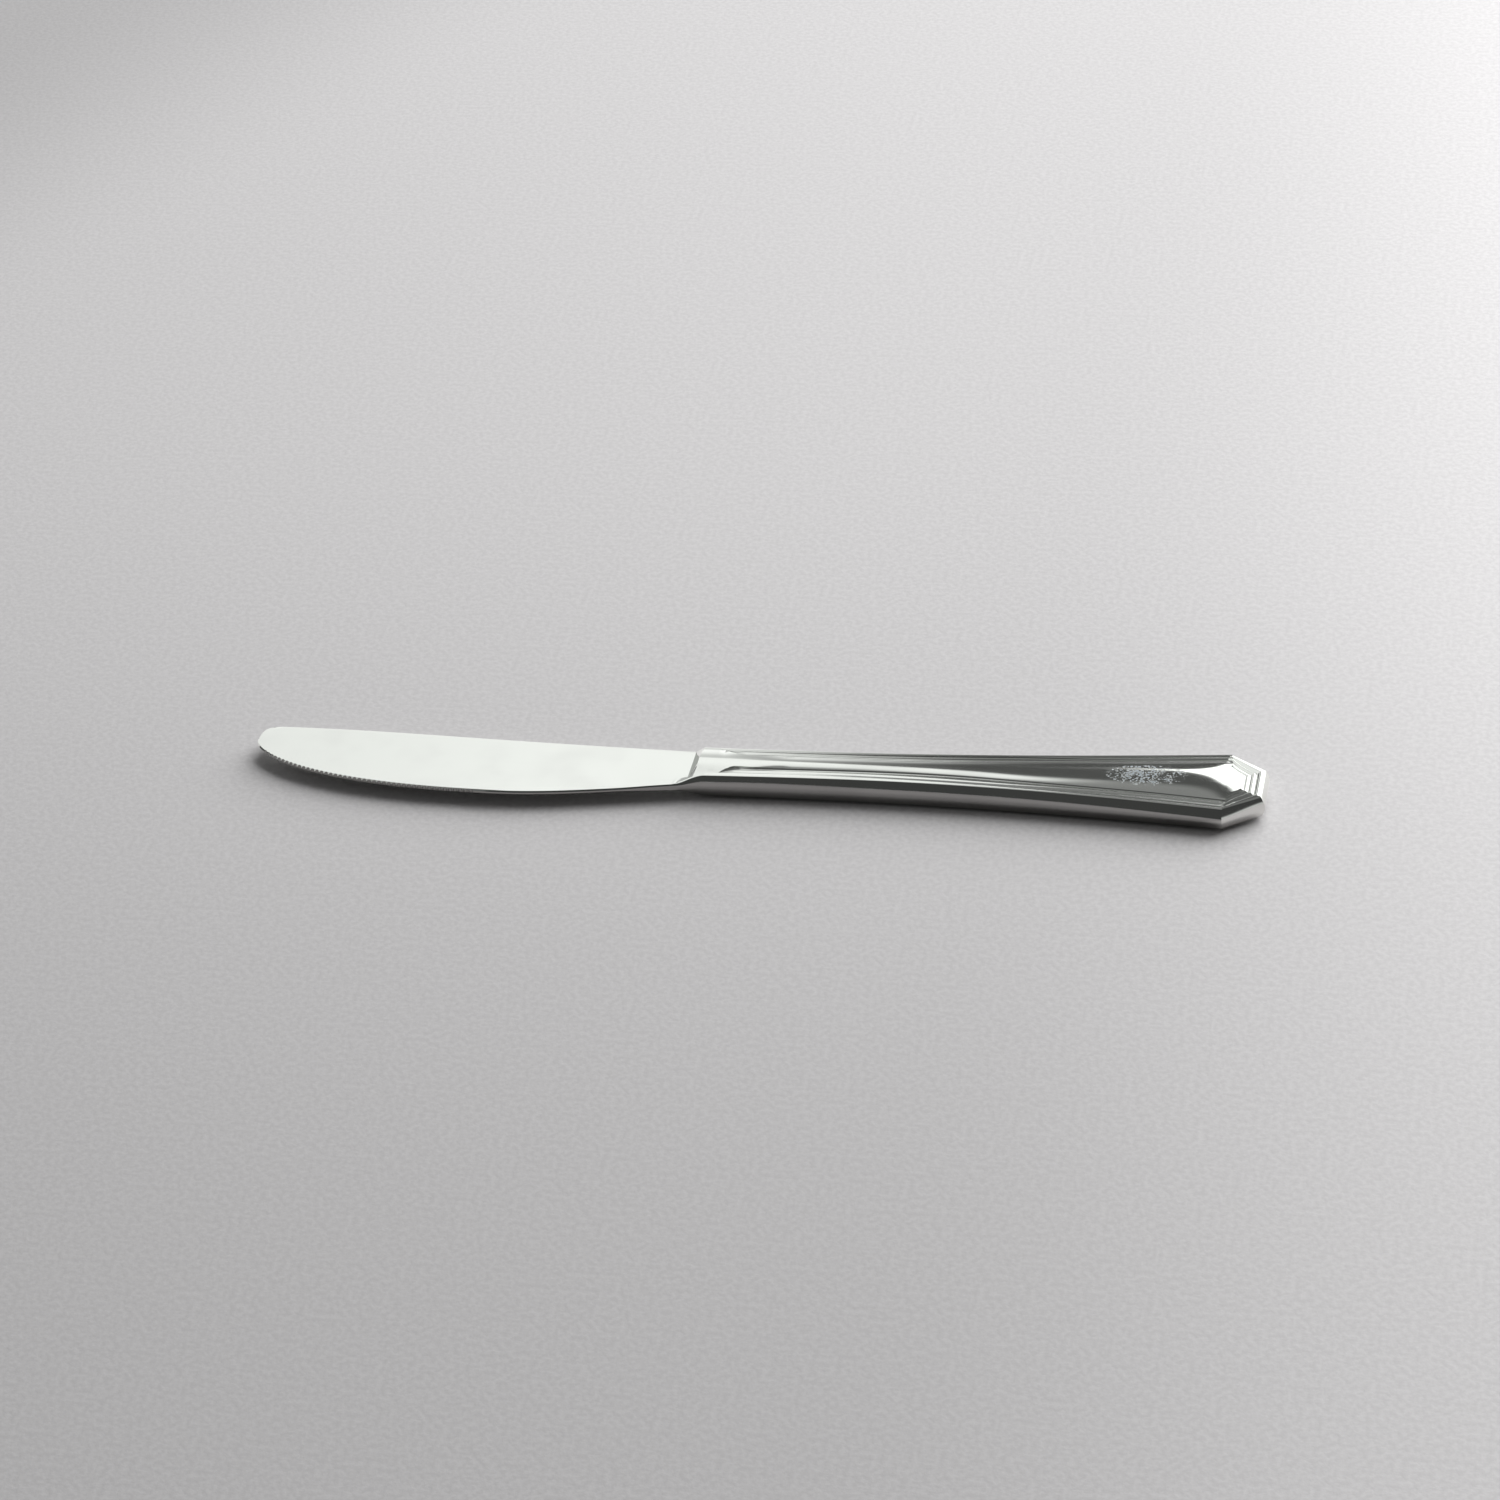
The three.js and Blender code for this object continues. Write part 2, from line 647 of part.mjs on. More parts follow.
const topShell = piece("handle_shell_top", shellGeometry(), polishedSteel);
const bottomShell = piece("handle_shell_bottom", topShell.geometry.clone(), polishedSteel);
bottomShell.rotation.x = Math.PI;

knife.add(piece("blade", bladeGeometry(), polishedSteel));
knife.add(topShell);
knife.add(bottomShell);
knife.add(piece("handle_core", coreGeometry(), cement));

const assembly = new THREE.Group();
assembly.add(knife);

export default assembly;
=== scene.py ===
"""Looks of the dessert knife: polished blade, moulded handle shells, cement core and the studio."""

import logging
import math
from dataclasses import dataclass
from enum import Enum
from typing import Callable, Iterable, Sequence, Union

import bmesh
import bpy
import numpy as np
from mathutils import Matrix, Vector


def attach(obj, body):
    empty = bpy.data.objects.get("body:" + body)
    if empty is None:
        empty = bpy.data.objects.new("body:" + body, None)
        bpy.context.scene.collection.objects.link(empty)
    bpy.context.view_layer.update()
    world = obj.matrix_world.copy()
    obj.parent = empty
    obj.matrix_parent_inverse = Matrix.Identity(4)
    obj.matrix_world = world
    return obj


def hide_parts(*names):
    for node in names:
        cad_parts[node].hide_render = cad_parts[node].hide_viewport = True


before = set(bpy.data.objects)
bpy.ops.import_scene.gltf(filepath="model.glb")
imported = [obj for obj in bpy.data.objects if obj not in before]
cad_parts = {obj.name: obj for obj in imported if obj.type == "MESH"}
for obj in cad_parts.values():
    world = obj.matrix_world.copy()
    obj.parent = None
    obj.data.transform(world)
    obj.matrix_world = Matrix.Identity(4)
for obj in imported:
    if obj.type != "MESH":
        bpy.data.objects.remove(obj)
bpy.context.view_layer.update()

log = logging.getLogger("dessert_knife")

# Metres in a millimetre and degrees in a radian
MM = 0.001
DEGREES = 180.0 / math.pi

PHOTO_PIXELS = 1500
WHITE = (1.0, 1.0, 1.0)

# How often a search along a curve halves its step, and how close points are one, in millimetres
CURVE_HALVINGS = 40
JOIN_DISTANCE = 0.0005

Colour = tuple[float, float, float]
Triple = tuple[float, float, float]
Point = tuple[float, float]
Span = tuple[float, float]
Row = list[int]
Face = tuple[int, ...]


class Slot(Enum):
    """Material slots of the record."""

    BLADE = "blade_steel"
    HANDLE = "handle_steel"
    CORE = "core_cement"


class Half(Enum):
    """The two half shells, with the side of the middle plane that each lies on."""

    UPPER = 1
    LOWER = -1


# Shader nodes


class Value:
    """Output socket of a node, with the arithmetic that the finishes use."""

    def __init__(self, tree: "NodeBuilder", socket: bpy.types.NodeSocket | None) -> None:
        """Keeps the socket and the tree that it belongs to."""
        self.tree = tree
        self.socket = socket

    def _math(self, operation: str, *values: "Number") -> "Value":
        """Adds one Math node.

        Args:
            operation: Blender's name of the operation.
            values: Numbers or outputs, in the node's order.

        Returns:
            The node's output.
        """
        return self.tree.node("ShaderNodeMath", {"operation": operation}, dict(enumerate(values)))

    def __add__(self, other: "Number") -> "Value":
        """Sum."""
        return self._math("ADD", self, other)

    def __radd__(self, other: "Number") -> "Value":
        """Sum with the number first."""
        return self._math("ADD", other, self)

    def __sub__(self, other: "Number") -> "Value":
        """Difference."""
        return self._math("SUBTRACT", self, other)

    def __rsub__(self, other: "Number") -> "Value":
        """Difference with the number first."""
        return self._math("SUBTRACT", other, self)

    def __mul__(self, other: "Number") -> "Value":
        """Product."""
        return self._math("MULTIPLY", self, other)

    def __rmul__(self, other: "Number") -> "Value":
        """Product with the number first."""
        return self._math("MULTIPLY", other, self)

    def __truediv__(self, other: "Number") -> "Value":
        """Quotient."""
        return self._math("DIVIDE", self, other)

    def __rtruediv__(self, other: "Number") -> "Value":
        """Quotient with the number first."""
        return self._math("DIVIDE", other, self)

    def atan2(self, other: "Number") -> "Value":
        """Angle of the point whose height is this value and whose run is the other."""
        return self._math("ARCTAN2", self, other)

    def arcsine(self) -> "Value":
        """Angle whose sine is this value."""
        return self._math("ARCSINE", self)

    def maximum(self, other: "Number") -> "Value":
        """The larger of two values."""
        return self._math("MAXIMUM", self, other)

    def step(self, start: "Number", end: "Number") -> "Value":
        """Smooth rise from 0 at start to 1 at end.

        Args:
            start: Value that gives 0.
            end: Value that gives 1.

        Returns:
            The clamped smooth rise.
        """
        settings = {"interpolation_type": "SMOOTHSTEP"}
        inputs = {"Value": self, "From Min": start, "From Max": end}
        return self.tree.node("ShaderNodeMapRange", settings, inputs)

    def band(self, rise: Span, fall: Span) -> "Value":
        """1 between a smooth rise and a smooth fall, and 0 outside them."""
        return self.step(*rise) * (1.0 - self.step(*fall))


Number = Union[float, int, Value]
Input = Union[float, int, Value, Sequence[float]]
Amount = Union[float, np.ndarray, Value]


def blend(first: Amount, second: Amount, share: Amount) -> Amount:
    """What lies between two numbers, points or outputs, at a share of the way."""
    return first + (second - first) * share


class NodeBuilder:
    """Adds nodes and links to one node tree."""

    def __init__(self, tree: bpy.types.NodeTree) -> None:
        """Empties the tree."""
        self.tree = tree
        tree.nodes.clear()

    def node(
        self,
        kind: str,
        settings: dict[str, object] | None = None,
        inputs: dict[str | int, Input] | None = None,
        output: str | int = 0,
    ) -> Value:
        """Adds one node.

        Args:
            kind: Blender's type of node.
            settings: Attributes that are set before the sockets.
            inputs: Sockets by name or index, each with a number, a vector or an output.
            output: The output to hand back.

        Returns:
            That output, or an empty value where the node has no output.
        """
        made = self.tree.nodes.new(kind)
        for name, setting in (settings or {}).items():
            setattr(made, name, setting)
        for name, source in (inputs or {}).items():
            if isinstance(source, Value):
                self.tree.links.new(source.socket, made.inputs[name])
            else:
                made.inputs[name].default_value = source
        return Value(self, made.outputs[output] if len(made.outputs) else None)

    def finish(self, inputs: dict[str | int, Input]) -> None:
        """Ends a material with a Principled shader that has these inputs."""
        shader = self.node("ShaderNodeBsdfPrincipled", None, inputs)
        self.node("ShaderNodeOutputMaterial", None, {"Surface": shader})

    def noise(self, coordinates: Value, scale: float, detail: float, stretch: Triple = (1, 1, 1)) -> Value:
        """Noise between 0 and 1.

        Args:
            coordinates: Where the surface is, in metres.
            scale: Blotches for each metre.
            detail: Octaves.
            stretch: Factor on each axis.

        Returns:
            The noise's value.
        """
        settings = {"operation": "MULTIPLY"}
        stretched = self.node("ShaderNodeVectorMath", settings, {0: coordinates, 1: stretch})
        return self.node("ShaderNodeTexNoise", None, {"Vector": stretched, "Scale": scale, "Detail": detail})

    def mix(self, mask: Number, first: Input, second: Input) -> Value:
        """Colour between two colours.

        Args:
            mask: 0 for the first colour, 1 for the second.
            first: Colour as an output or four numbers.
            second: Colour as an output or four numbers.

        Returns:
            The mixed colour.
        """
        settings = {"data_type": "RGBA"}
        return self.node("ShaderNodeMix", settings, {0: mask, 6: first, 7: second}, output=2)

    def bump(self, height: Value, strength: float, distance: float) -> Value:
        """Normal of a height field.

        Args:
            height: Height between 0 and 1.
            strength: Share of the full effect.
            distance: Height in metres of 1.

        Returns:
            The bent normal.
        """
        inputs = {"Height": height, "Strength": strength, "Distance": distance}
        return self.node("ShaderNodeBump", None, inputs)

    def position(self) -> Value:
        """Place on the object, in its own metres."""
        return self.node("ShaderNodeTexCoord", output="Object")

    def axes(self, vector: Value) -> tuple[Value, Value, Value]:
        """The three parts of a vector."""
        made = self.node("ShaderNodeSeparateXYZ", None, {0: vector})
        return tuple(Value(self, socket) for socket in made.socket.node.outputs)


def opaque(colour: Colour) -> tuple[float, float, float, float]:
    """The colour with full alpha."""
    return (*colour, 1.0)


def new_material(name: str) -> tuple[bpy.types.Material, NodeBuilder]:
    """An empty node material.

    Args:
        name: Name of the material.

    Returns:
        The material and the builder of its tree.
    """
    material = bpy.data.materials.new(name)
    material.use_nodes = True
    return material, NodeBuilder(material.node_tree)


@dataclass(frozen=True)
class DriedResidue:
    """Bluish-white residue dried on the upper face in broken specks. Lengths are in millimetres."""

    centre: Point = (80.5, 0.3)
    reach: Point = (8.4, 3.7)
    rim_fade: Span = (0.0, 0.3)
    height_fade: Span = (5.4, 5.7)
    thin_colour: Colour = (0.05, 0.08, 0.11)
    thick_colour: Colour = (0.21, 0.28, 0.36)
    thick_range: Span = (0.45, 0.7)
    roughness: float = 0.6
    most_cover: float = 0.8
    cover_range: Span = (0.51, 0.66)
    speck_scale: float = 2300.0
    speck_detail: float = 4.0
    speck_share: float = 0.65
    cloud_scale: float = 520.0
    cloud_detail: float = 2.0
    cloud_share: float = 0.35
    middle_gain: float = 0.06

    def cover(self, tree: NodeBuilder, place: Value) -> tuple[Value, Value]:
        """Where the residue lies.

        Args:
            tree: The steel's tree.
            place: Place on the object.

        Returns:
            Its cover, 0 on bare steel, and its colour.
        """
        along, across, up = tree.axes(place)
        beside = (along / MM - self.centre[0]) / self.reach[0]
        over = (across / MM - self.centre[1]) / self.reach[1]
        inside = 1.0 - beside * beside - over * over
        specks = tree.noise(place, self.speck_scale, self.speck_detail)
        clouds = tree.noise(place, self.cloud_scale, self.cloud_detail)
        crowding = specks * self.speck_share + clouds * self.cloud_share + inside * self.middle_gain
        broken = crowding.step(*self.cover_range)
        on_top = (up / MM).step(*self.height_fade)
        thickness = specks.step(*self.thick_range)
        colour = tree.mix(thickness, opaque(self.thin_colour), opaque(self.thick_colour))
        return broken * inside.step(*self.rim_fade) * on_top * self.most_cover, colour


@dataclass(frozen=True)
class PolishedSteel:
    """Mirror-polished stainless steel with fine wipe marks along the knife and faint unevenness."""

    name: str
    colour: Colour = (0.785, 0.81, 0.77)
    worn_colour: Colour = (0.73, 0.75, 0.715)
    worn_scale: float = 70.0
    worn_detail: float = 2.0
    worn_range: Span = (0.45, 0.8)
    roughness: float = 0.07
    wipe_roughness: float = 0.05
    wipe_scale: float = 900.0
    wipe_detail: float = 3.0
    wipe_stretch: Triple = (0.04, 1.0, 1.0)
    wipe_range: Span = (0.5, 0.8)
    wave_scale: float = 45.0
    wave_detail: float = 1.0
    wave_strength: float = 1.0
    wave_height: float = 0.00001
    residue: DriedResidue | None = None

    def material(self) -> bpy.types.Material:
        """Builds the material.

        Returns:
            The material.
        """
        material, tree = new_material(self.name)
        place = tree.position()
        wipes = tree.noise(place, self.wipe_scale, self.wipe_detail, self.wipe_stretch)
        clouds = tree.noise(place, self.worn_scale, self.worn_detail)
        waves = tree.noise(place, self.wave_scale, self.wave_detail)
        colour = tree.mix(clouds.step(*self.worn_range), opaque(self.colour), opaque(self.worn_colour))
        roughness = self.roughness + wipes.step(*self.wipe_range) * self.wipe_roughness
        metal: Number = 1.0
        if self.residue:
            cover, residue_colour = self.residue.cover(tree, place)
            colour = tree.mix(cover, colour, residue_colour)
            roughness = blend(roughness, self.residue.roughness, cover)
            metal = 1.0 - cover
        tree.finish(
            {
                "Base Color": colour,
                "Metallic": metal,
                "Roughness": roughness,
                "Normal": tree.bump(waves, self.wave_strength, self.wave_height),
            }
        )
        return material


@dataclass(frozen=True)
class SetCement:
    """Set cement: pale, grainy and matte, with darker specks."""

    name: str
    colour: Colour = (0.62, 0.58, 0.51)
    speck_colour: Colour = (0.36, 0.33, 0.29)
    speck_scale: float = 700.0
    speck_detail: float = 2.0
    speck_range: Span = (0.58, 0.7)
    roughness: float = 0.75
    grain_roughness: float = 0.2
    grain_scale: float = 1500.0
    grain_detail: float = 4.0
    grain_strength: float = 0.6
    grain_height: float = 0.0002

    def material(self) -> bpy.types.Material:
        """Builds the material.

        Returns:
            The material.
        """
        material, tree = new_material(self.name)
        place = tree.position()
        grain = tree.noise(place, self.grain_scale, self.grain_detail)
        specks = tree.noise(place, self.speck_scale, self.speck_detail).step(*self.speck_range)
        tree.finish(
            {
                "Base Color": tree.mix(specks, opaque(self.colour), opaque(self.speck_colour)),
                "Roughness": self.roughness + grain * self.grain_roughness,
                "Normal": tree.bump(grain, self.grain_strength, self.grain_height),
            }
        )
        return material


@dataclass(frozen=True)
class TableTop:
    """Pale matte table top with a fine even grain, and painted light that brightens it towards the back and
    the right, with painted shade in the far left corner.

    The ranges along and across the knife are in metres. The steel shows the table in three painted reflection
    shades in place of its lit colour: dark in front of the knife where its shadow falls, lighter past its
    butt and bright behind it.
    """

    name: str
    colour: Colour = (0.574, 0.566, 0.569)
    grain_colour: Colour = (0.525, 0.517, 0.52)
    # Painted reflection shades of the table in the steel: painted shade in front, painted light past the butt
    # and behind
    near_painted_reflection: Colour = (0.25, 0.233, 0.24)
    end_painted_reflection: Colour = (0.6, 0.565, 0.58)
    end_reflection_range: Span = (0.09, 0.1)
    far_painted_reflection: Colour = (0.9, 0.88, 0.885)
    far_reflection_range: Span = (-0.01, 0.02)
    roughness: float = 0.9
    grain_scale: float = 900.0
    grain_detail: float = 2.0
    grain_range: Span = (0.3, 0.7)
    grain_strength: float = 0.3
    grain_height: float = 0.0002
    # Painted pool of light towards the right and the back, and painted shade in the far left corner
    right_light_gain: float = 0.26
    right_light_range: Span = (0.04, 0.2)
    back_light_gain: float = 0.16
    back_light_range: Span = (-0.2, 0.15)
    corner_shade_loss: float = 0.24
    corner_shade_slant: float = 0.6
    corner_shade_range: Span = (-0.48, -0.33)

    def painted_light_pool(self, along: Value, across: Value) -> Value:
        """Painted light and shade of the table by place: a pool of light towards the right and the back, and
        shade in the far left corner.

        Args:
            along: Place along the knife, in metres.
            across: Place across it.

        Returns:
            Factor on the table's colour.
        """
        right = along.step(*self.right_light_range)
        back = across.step(*self.back_light_range)
        corner = 1.0 - (along - across * self.corner_shade_slant).step(*self.corner_shade_range)
        # Painted light to the right and the back, less the painted shade in the far left corner
        return 1.0 + right * self.right_light_gain + back * self.back_light_gain - corner * self.corner_shade_loss

    def mirrored(self, tree: NodeBuilder, along: Value, across: Value) -> Value:
        """Painted reflection: the colour that the steel shows for the table in place of its lit colour, dark
        in front of the knife where its shadow falls, lighter past the butt and bright behind it.

        Args:
            tree: The table's tree.
            along: Place along the knife, in metres.
            across: Place across it.

        Returns:
            The colour.
        """
        # Painted reflection shades: dark in front of the knife, lighter past the butt, bright behind it
        near = opaque(self.near_painted_reflection)
        front = tree.mix(along.step(*self.end_reflection_range), near, opaque(self.end_painted_reflection))
        return tree.mix(across.step(*self.far_reflection_range), front, opaque(self.far_painted_reflection))

    def material(self) -> bpy.types.Material:
        """Builds the material.

        Returns:
            The material.
        """
        material, tree = new_material(self.name)
        place = tree.position()
        along, across, _ = tree.axes(place)
        grain = tree.noise(place, self.grain_scale, self.grain_detail)
        plain = tree.mix(grain.step(*self.grain_range), opaque(self.colour), opaque(self.grain_colour))
        # The table's colour scaled by its painted light and shade
        painted_light_inputs = {0: plain, "Scale": self.painted_light_pool(along, across)}
        seen = tree.node("ShaderNodeVectorMath", {"operation": "SCALE"}, painted_light_inputs)
        # Glossy rays see the painted reflection shades, not the table's lit colour
        glossy = tree.node("ShaderNodeLightPath", output="Is Glossy Ray")
        tree.finish(
            {
                "Base Color": tree.mix(glossy, seen, self.mirrored(tree, along, across)),
                "Roughness": self.roughness,
                "Specular IOR Level": 0.0,
                "Normal": tree.bump(grain, self.grain_strength, self.grain_height),
            }
        )
        return material


# Shapes


def smooth(value: float, start: float, end: float) -> float:
    """Smooth rise from 0 at start to 1 at end.

    Args:
        value: Where the rise is asked for.
        start: Value that gives 0.
        end: Value that gives 1.

    Returns:
        The rise.
    """
    share = min(max((value - start) / (end - start), 0.0), 1.0)
    return share * share * (3.0 - 2.0 * share)


@dataclass(frozen=True)
class PlanCurve:
    """Cubic curve in plan whose x only grows from start to end."""

    start: Point
    lead: Point
    tail: Point
    end: Point

    def point(self, share: float) -> np.ndarray:
        """Point of the curve.

        Args:
            share: 0 at the start, 1 at the end.

        Returns:
            Its x and y.
        """
        back = 1.0 - share
        weights = (back**3, 3 * back**2 * share, 3 * back * share**2, share**3)
        poles = (self.start, self.lead, self.tail, self.end)
        return sum(weight * np.array(pole) for weight, pole in zip(weights, poles))

    def direction(self, share: float) -> np.ndarray:
        """Unit direction of travel.

        Args:
            share: 0 at the start, 1 at the end.

        Returns:
            The direction's x and y.
        """
        nudge = 1e-4
        step = self.point(min(share + nudge, 1.0)) - self.point(max(share - nudge, 0.0))
        return step / np.linalg.norm(step)

    def share_at(self, x: float) -> float:
        """Share of the way at which the curve passes x.

        Args:
            x: Place along the knife.

        Returns:
            The share.
        """
        low, high = 0.0, 1.0
        for _ in range(CURVE_HALVINGS):
            middle = (low + high) / 2
            if self.point(middle)[0] < x:
                low = middle
            else:
                high = middle
        return (low + high) / 2


def rounded(points: Sequence[Point], passes: int) -> list[Point]:
    """Cuts the corners of a line of points at a quarter of the way along its sides.

    Args:
        points: The line.
        passes: How often each corner is cut.

    Returns:
        The smoother line, with the same ends.
    """
    line = [np.array(point, float) for point in points]
    for _ in range(passes):
        cut = [line[0]]
        for first, second in zip(line, line[1:]):
            cut += [first * 0.75 + second * 0.25, first * 0.25 + second * 0.75]
        line = [*cut, line[-1]]
    return [tuple(point) for point in line]


class MeshSketch:
    """Points and faces of one piece, in millimetres about the knife's middle plane."""

    def __init__(self) -> None:
        """Starts empty."""
        self.points: list[np.ndarray] = []
        self.faces: list[Face] = []

    def add(self, point: Iterable[float]) -> int:
        """Adds a point and gives its index."""
        self.points.append(np.array(tuple(point), float))
        return len(self.points) - 1

    def row(self, points: Iterable[Iterable[float]]) -> Row:
        """Adds points in order and gives their indices."""
        return [self.add(point) for point in points]

    def strip(self, first: Row, second: Row, closed: bool = False) -> None:
        """Joins two rows of as many points by quads.

        Args:
            first: Indices of one row.
            second: Indices of the row beside it.
            closed: True to join the ends too.
        """
        count = len(first)
        for i in range(count if closed else count - 1):
            after = (i + 1) % count
            self.faces.append((first[i], first[after], second[after], second[i]))

    def build(self, name: str, lift: float, crease: float) -> bpy.types.Object:
        """Makes the Blender object.

        Args:
            name: Name of the piece.
            lift: Height of the middle plane above the table, in millimetres.
            crease: Angle in degrees above which an edge is sharp.

        Returns:
            The object, in the scene.
        """
        form = bmesh.new()
        made = [form.verts.new(((point + (0.0, 0.0, lift)) * MM).tolist()) for point in self.points]
        for face in self.faces:
            corners = [made[i] for i in face]
            if len(set(corners)) == len(corners) and form.faces.get(corners) is None:
                form.faces.new(corners)
        bmesh.ops.remove_doubles(form, verts=form.verts, dist=JOIN_DISTANCE * MM)
        bmesh.ops.dissolve_degenerate(form, edges=form.edges, dist=JOIN_DISTANCE * MM / 10)
        bmesh.ops.recalc_face_normals(form, faces=form.faces)
        mesh = bpy.data.meshes.new(name)
        form.to_mesh(mesh)
        form.free()
        mesh.polygons.foreach_set("use_smooth", [True] * len(mesh.polygons))
        mesh.set_sharp_from_angle(angle=math.radians(crease))
        made_object = bpy.data.objects.new(name, mesh)
        bpy.context.scene.collection.objects.link(made_object)
        return made_object


def settle(piece: bpy.types.Object, node: str, slot: Slot, material: bpy.types.Material) -> None:
    """Dresses a piece and lets it stand for its CAD node.

    Args:
        piece: The finished piece.
        node: The CAD node that it replaces.
        slot: The record's slot of its finish; not used.
        material: Its material.
    """
    piece.data.materials.append(material)
    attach(piece, "root")
    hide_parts(node)
    log.info("%s stands for %s, %d faces", piece.name, node, len(piece.data.polygons))


@dataclass
class Station:
    """One place down the side of the handle: the outline there and its step inwards."""

    outline: np.ndarray
    inward: np.ndarray
    x: float


@dataclass
class HollowHandle:
    """Two half shells with a moulded border, and the core inside them. Lengths are in millimetres."""

    joint_x: float = -5.85
    length: float = 110.0
    neck_width: float = 10.9
    neck_taper: float = -0.012
    neck_reach: float = 40.0
    butt_width: float = 20.1
    butt_flare: float = 0.1
    butt_reach: float = 36.0
    corner_cut: float = 7.8
    butt_end_width: float = 9.5
    thickness: float = 6.5
    rim_neck: float = 5.2
    rim_middle: float = 5.75
    rim_butt: float = 4.7
    seam_land: float = 0.2
    crest_step_neck: float = 1.6
    crest_step_butt: float = 1.4
    crest_round_neck: float = 0.9
    crest_round_waist: float = 0.75
    crest_round_butt: float = 0.5
    crest_sharpening: float = 38.0
    crest_lean: float = 0.7
    crest_slope: float = 0.095
    arris_width: float = 0.07
    end_rim_widening: float = 0.4
    end_round_gain: float = 1.5
    side_steepness_neck: float = 2.4
    side_steepness_butt: float = 2.0
    panel_end_fall: float = 13.0
    groove_width: float = 0.3
    groove_depth: float = 0.14
    end_groove_width: float = 0.8
    end_groove_depth: float = 0.3
    end_groove_run: float = 4.0
    bead_width: float = 0.6
    bead_lean: float = 0.012
    quirk_width: float = 0.3
    quirk_depth: float = 0.22
    neck_quirk_share: float = 0.5
    quirk_deepening: Span = (0.0, 45.0)
    quirk_flank_width: float = 0.15
    slim_bead_share: float = 0.15
    bead_spread: Span = (50.0, 84.0)
    second_bead_width: float = 0.6
    second_bead_foot: float = 0.09
    second_bead_drop: float = 0.01
    valley_width: float = 0.22
    valley_depth: float = 0.1
    riser_width: float = 0.3
    panel_rise: float = 0.15
    neck_second_share: float = 1.1
    wide_second_share: float = 1.85
    butt_second_share: float = 1.0
    second_spread: Span = (-2.0, 40.0)
    second_return: Span = (42.0, 80.0)
    neck_crown_run: float = 14.0
    scoop_depth: float = 0.25
    scoop_riser_width: float = 0.62
    scoop_length: float = 7.0
    plain_neck: float = 1.2
    border_run_in: float = 4.4
    mitre_gap: float = 0.06
    wall: float = 0.5
    moulding_passes: int = 2
    draft_steps: int = 10
    crest_steps: int = 6
    side_steps: int = 140
    run_in_steps: int = 26
    cut_steps: int = 8
    across_steps: int = 24
    crease: float = 60.0
    finish: PolishedSteel = PolishedSteel("handle_polish", residue=DriedResidue())
    core_finish: SetCement = SetCement("core_set_cement")

    def __post_init__(self) -> None:
        """Works out the places and curves that the sizes give."""
        self.butt_x = self.joint_x + self.length
        self.corner_x = self.butt_x - self.corner_cut
        self.border_start = self.joint_x + self.plain_neck
        self.middle = self.thickness / 2
        neck, butt = self.neck_width / 2, self.butt_width / 2
        self.side = PlanCurve(
            (self.joint_x, neck),
            (self.joint_x + self.neck_reach, neck + self.neck_taper * self.neck_reach),
            (self.corner_x - self.butt_reach, butt - self.butt_flare * self.butt_reach),
            (self.corner_x, butt),
        )

    def rim(self, x: float) -> float:
        """Half thickness of the rim.

        Args:
            x: Place along the knife.

        Returns:
            The height of the crest over the middle plane.
        """
        share = (x - self.joint_x) / self.length
        control = self.rim_middle - (self.rim_neck + self.rim_butt) / 4
        back = 1.0 - share
        return back**2 * self.rim_neck / 2 + 2 * back * share * control + share**2 * self.rim_butt / 2

    def side_section(self, x: float, draft_steps: int, crest_steps: int) -> list[Point]:
        """Side of the handle at x from the seam's land to the crest.

        Args:
            x: Place along the knife.
            draft_steps: Steps up the drafted side.
            crest_steps: Steps over the crest's round.

        Returns:
            Steps in from the outline and heights.
        """
        share = (x - self.joint_x) / self.length
        widening = self.end_rim_widening * smooth(x, self.corner_x, self.butt_x)
        crest_step = blend(self.crest_step_neck, self.crest_step_butt, share) + widening
        sharpening = smooth(x, self.joint_x, self.joint_x + self.crest_sharpening)
        sharp_round = blend(self.crest_round_waist, self.crest_round_butt, share)
        crest_round = blend(self.crest_round_neck, sharp_round, sharpening) + self.end_round_gain * widening
        steepness = blend(self.side_steepness_neck, self.side_steepness_butt, sharpening)
        crest = np.array([crest_step, self.rim(x)])
        land = crest_round - self.arris_width
        arris = crest - (land, self.crest_slope * land)
        top = arris - (self.arris_width, self.crest_lean * self.arris_width)
        seam = np.array([0.0, self.seam_land])
        bend = np.array([0.0, top[1] - steepness * top[0]])
        draft = [self.arc(seam, bend, top, i / draft_steps) for i in range(draft_steps + 1)]
        over = [self.arc(top, arris, crest, i / crest_steps) for i in range(1, crest_steps + 1)]
        return [tuple(point) for point in [*draft, *over]]

    @staticmethod
    def arc(start: np.ndarray, bend: np.ndarray, end: np.ndarray, share: float) -> np.ndarray:
        """Point of the curve from start to end that leaves and arrives in line with the bend."""
        return blend(blend(start, bend, share), blend(bend, end, share), share)

    def border_run(self, x: float) -> float:
        """Share of the way at x through the sweep that brings the border in from the neck."""
        return min(max((x - self.border_start) / self.border_run_in, 0.0), 1.0)

    def border_sweep(self, x: float) -> float:
        """Share of the border's full width and depth at x as it sweeps in from the neck."""
        return 1.0 - (1.0 - self.border_run(x)) ** 2

    def bead_share(self, x: float) -> float:
        """Share of the full width at x of the groove and the first bead."""
        return self.border_sweep(x) * blend(self.slim_bead_share, 1.0, smooth(x, *self.bead_spread))

    def second_share(self, x: float) -> float:
        """Share of the full width at x of the second bead, the valley and the riser: widest in the middle."""
        rise = blend(self.neck_second_share, self.wide_second_share, smooth(x, *self.second_spread))
        return self.border_sweep(x) * blend(rise, self.butt_second_share, smooth(x, *self.second_return))

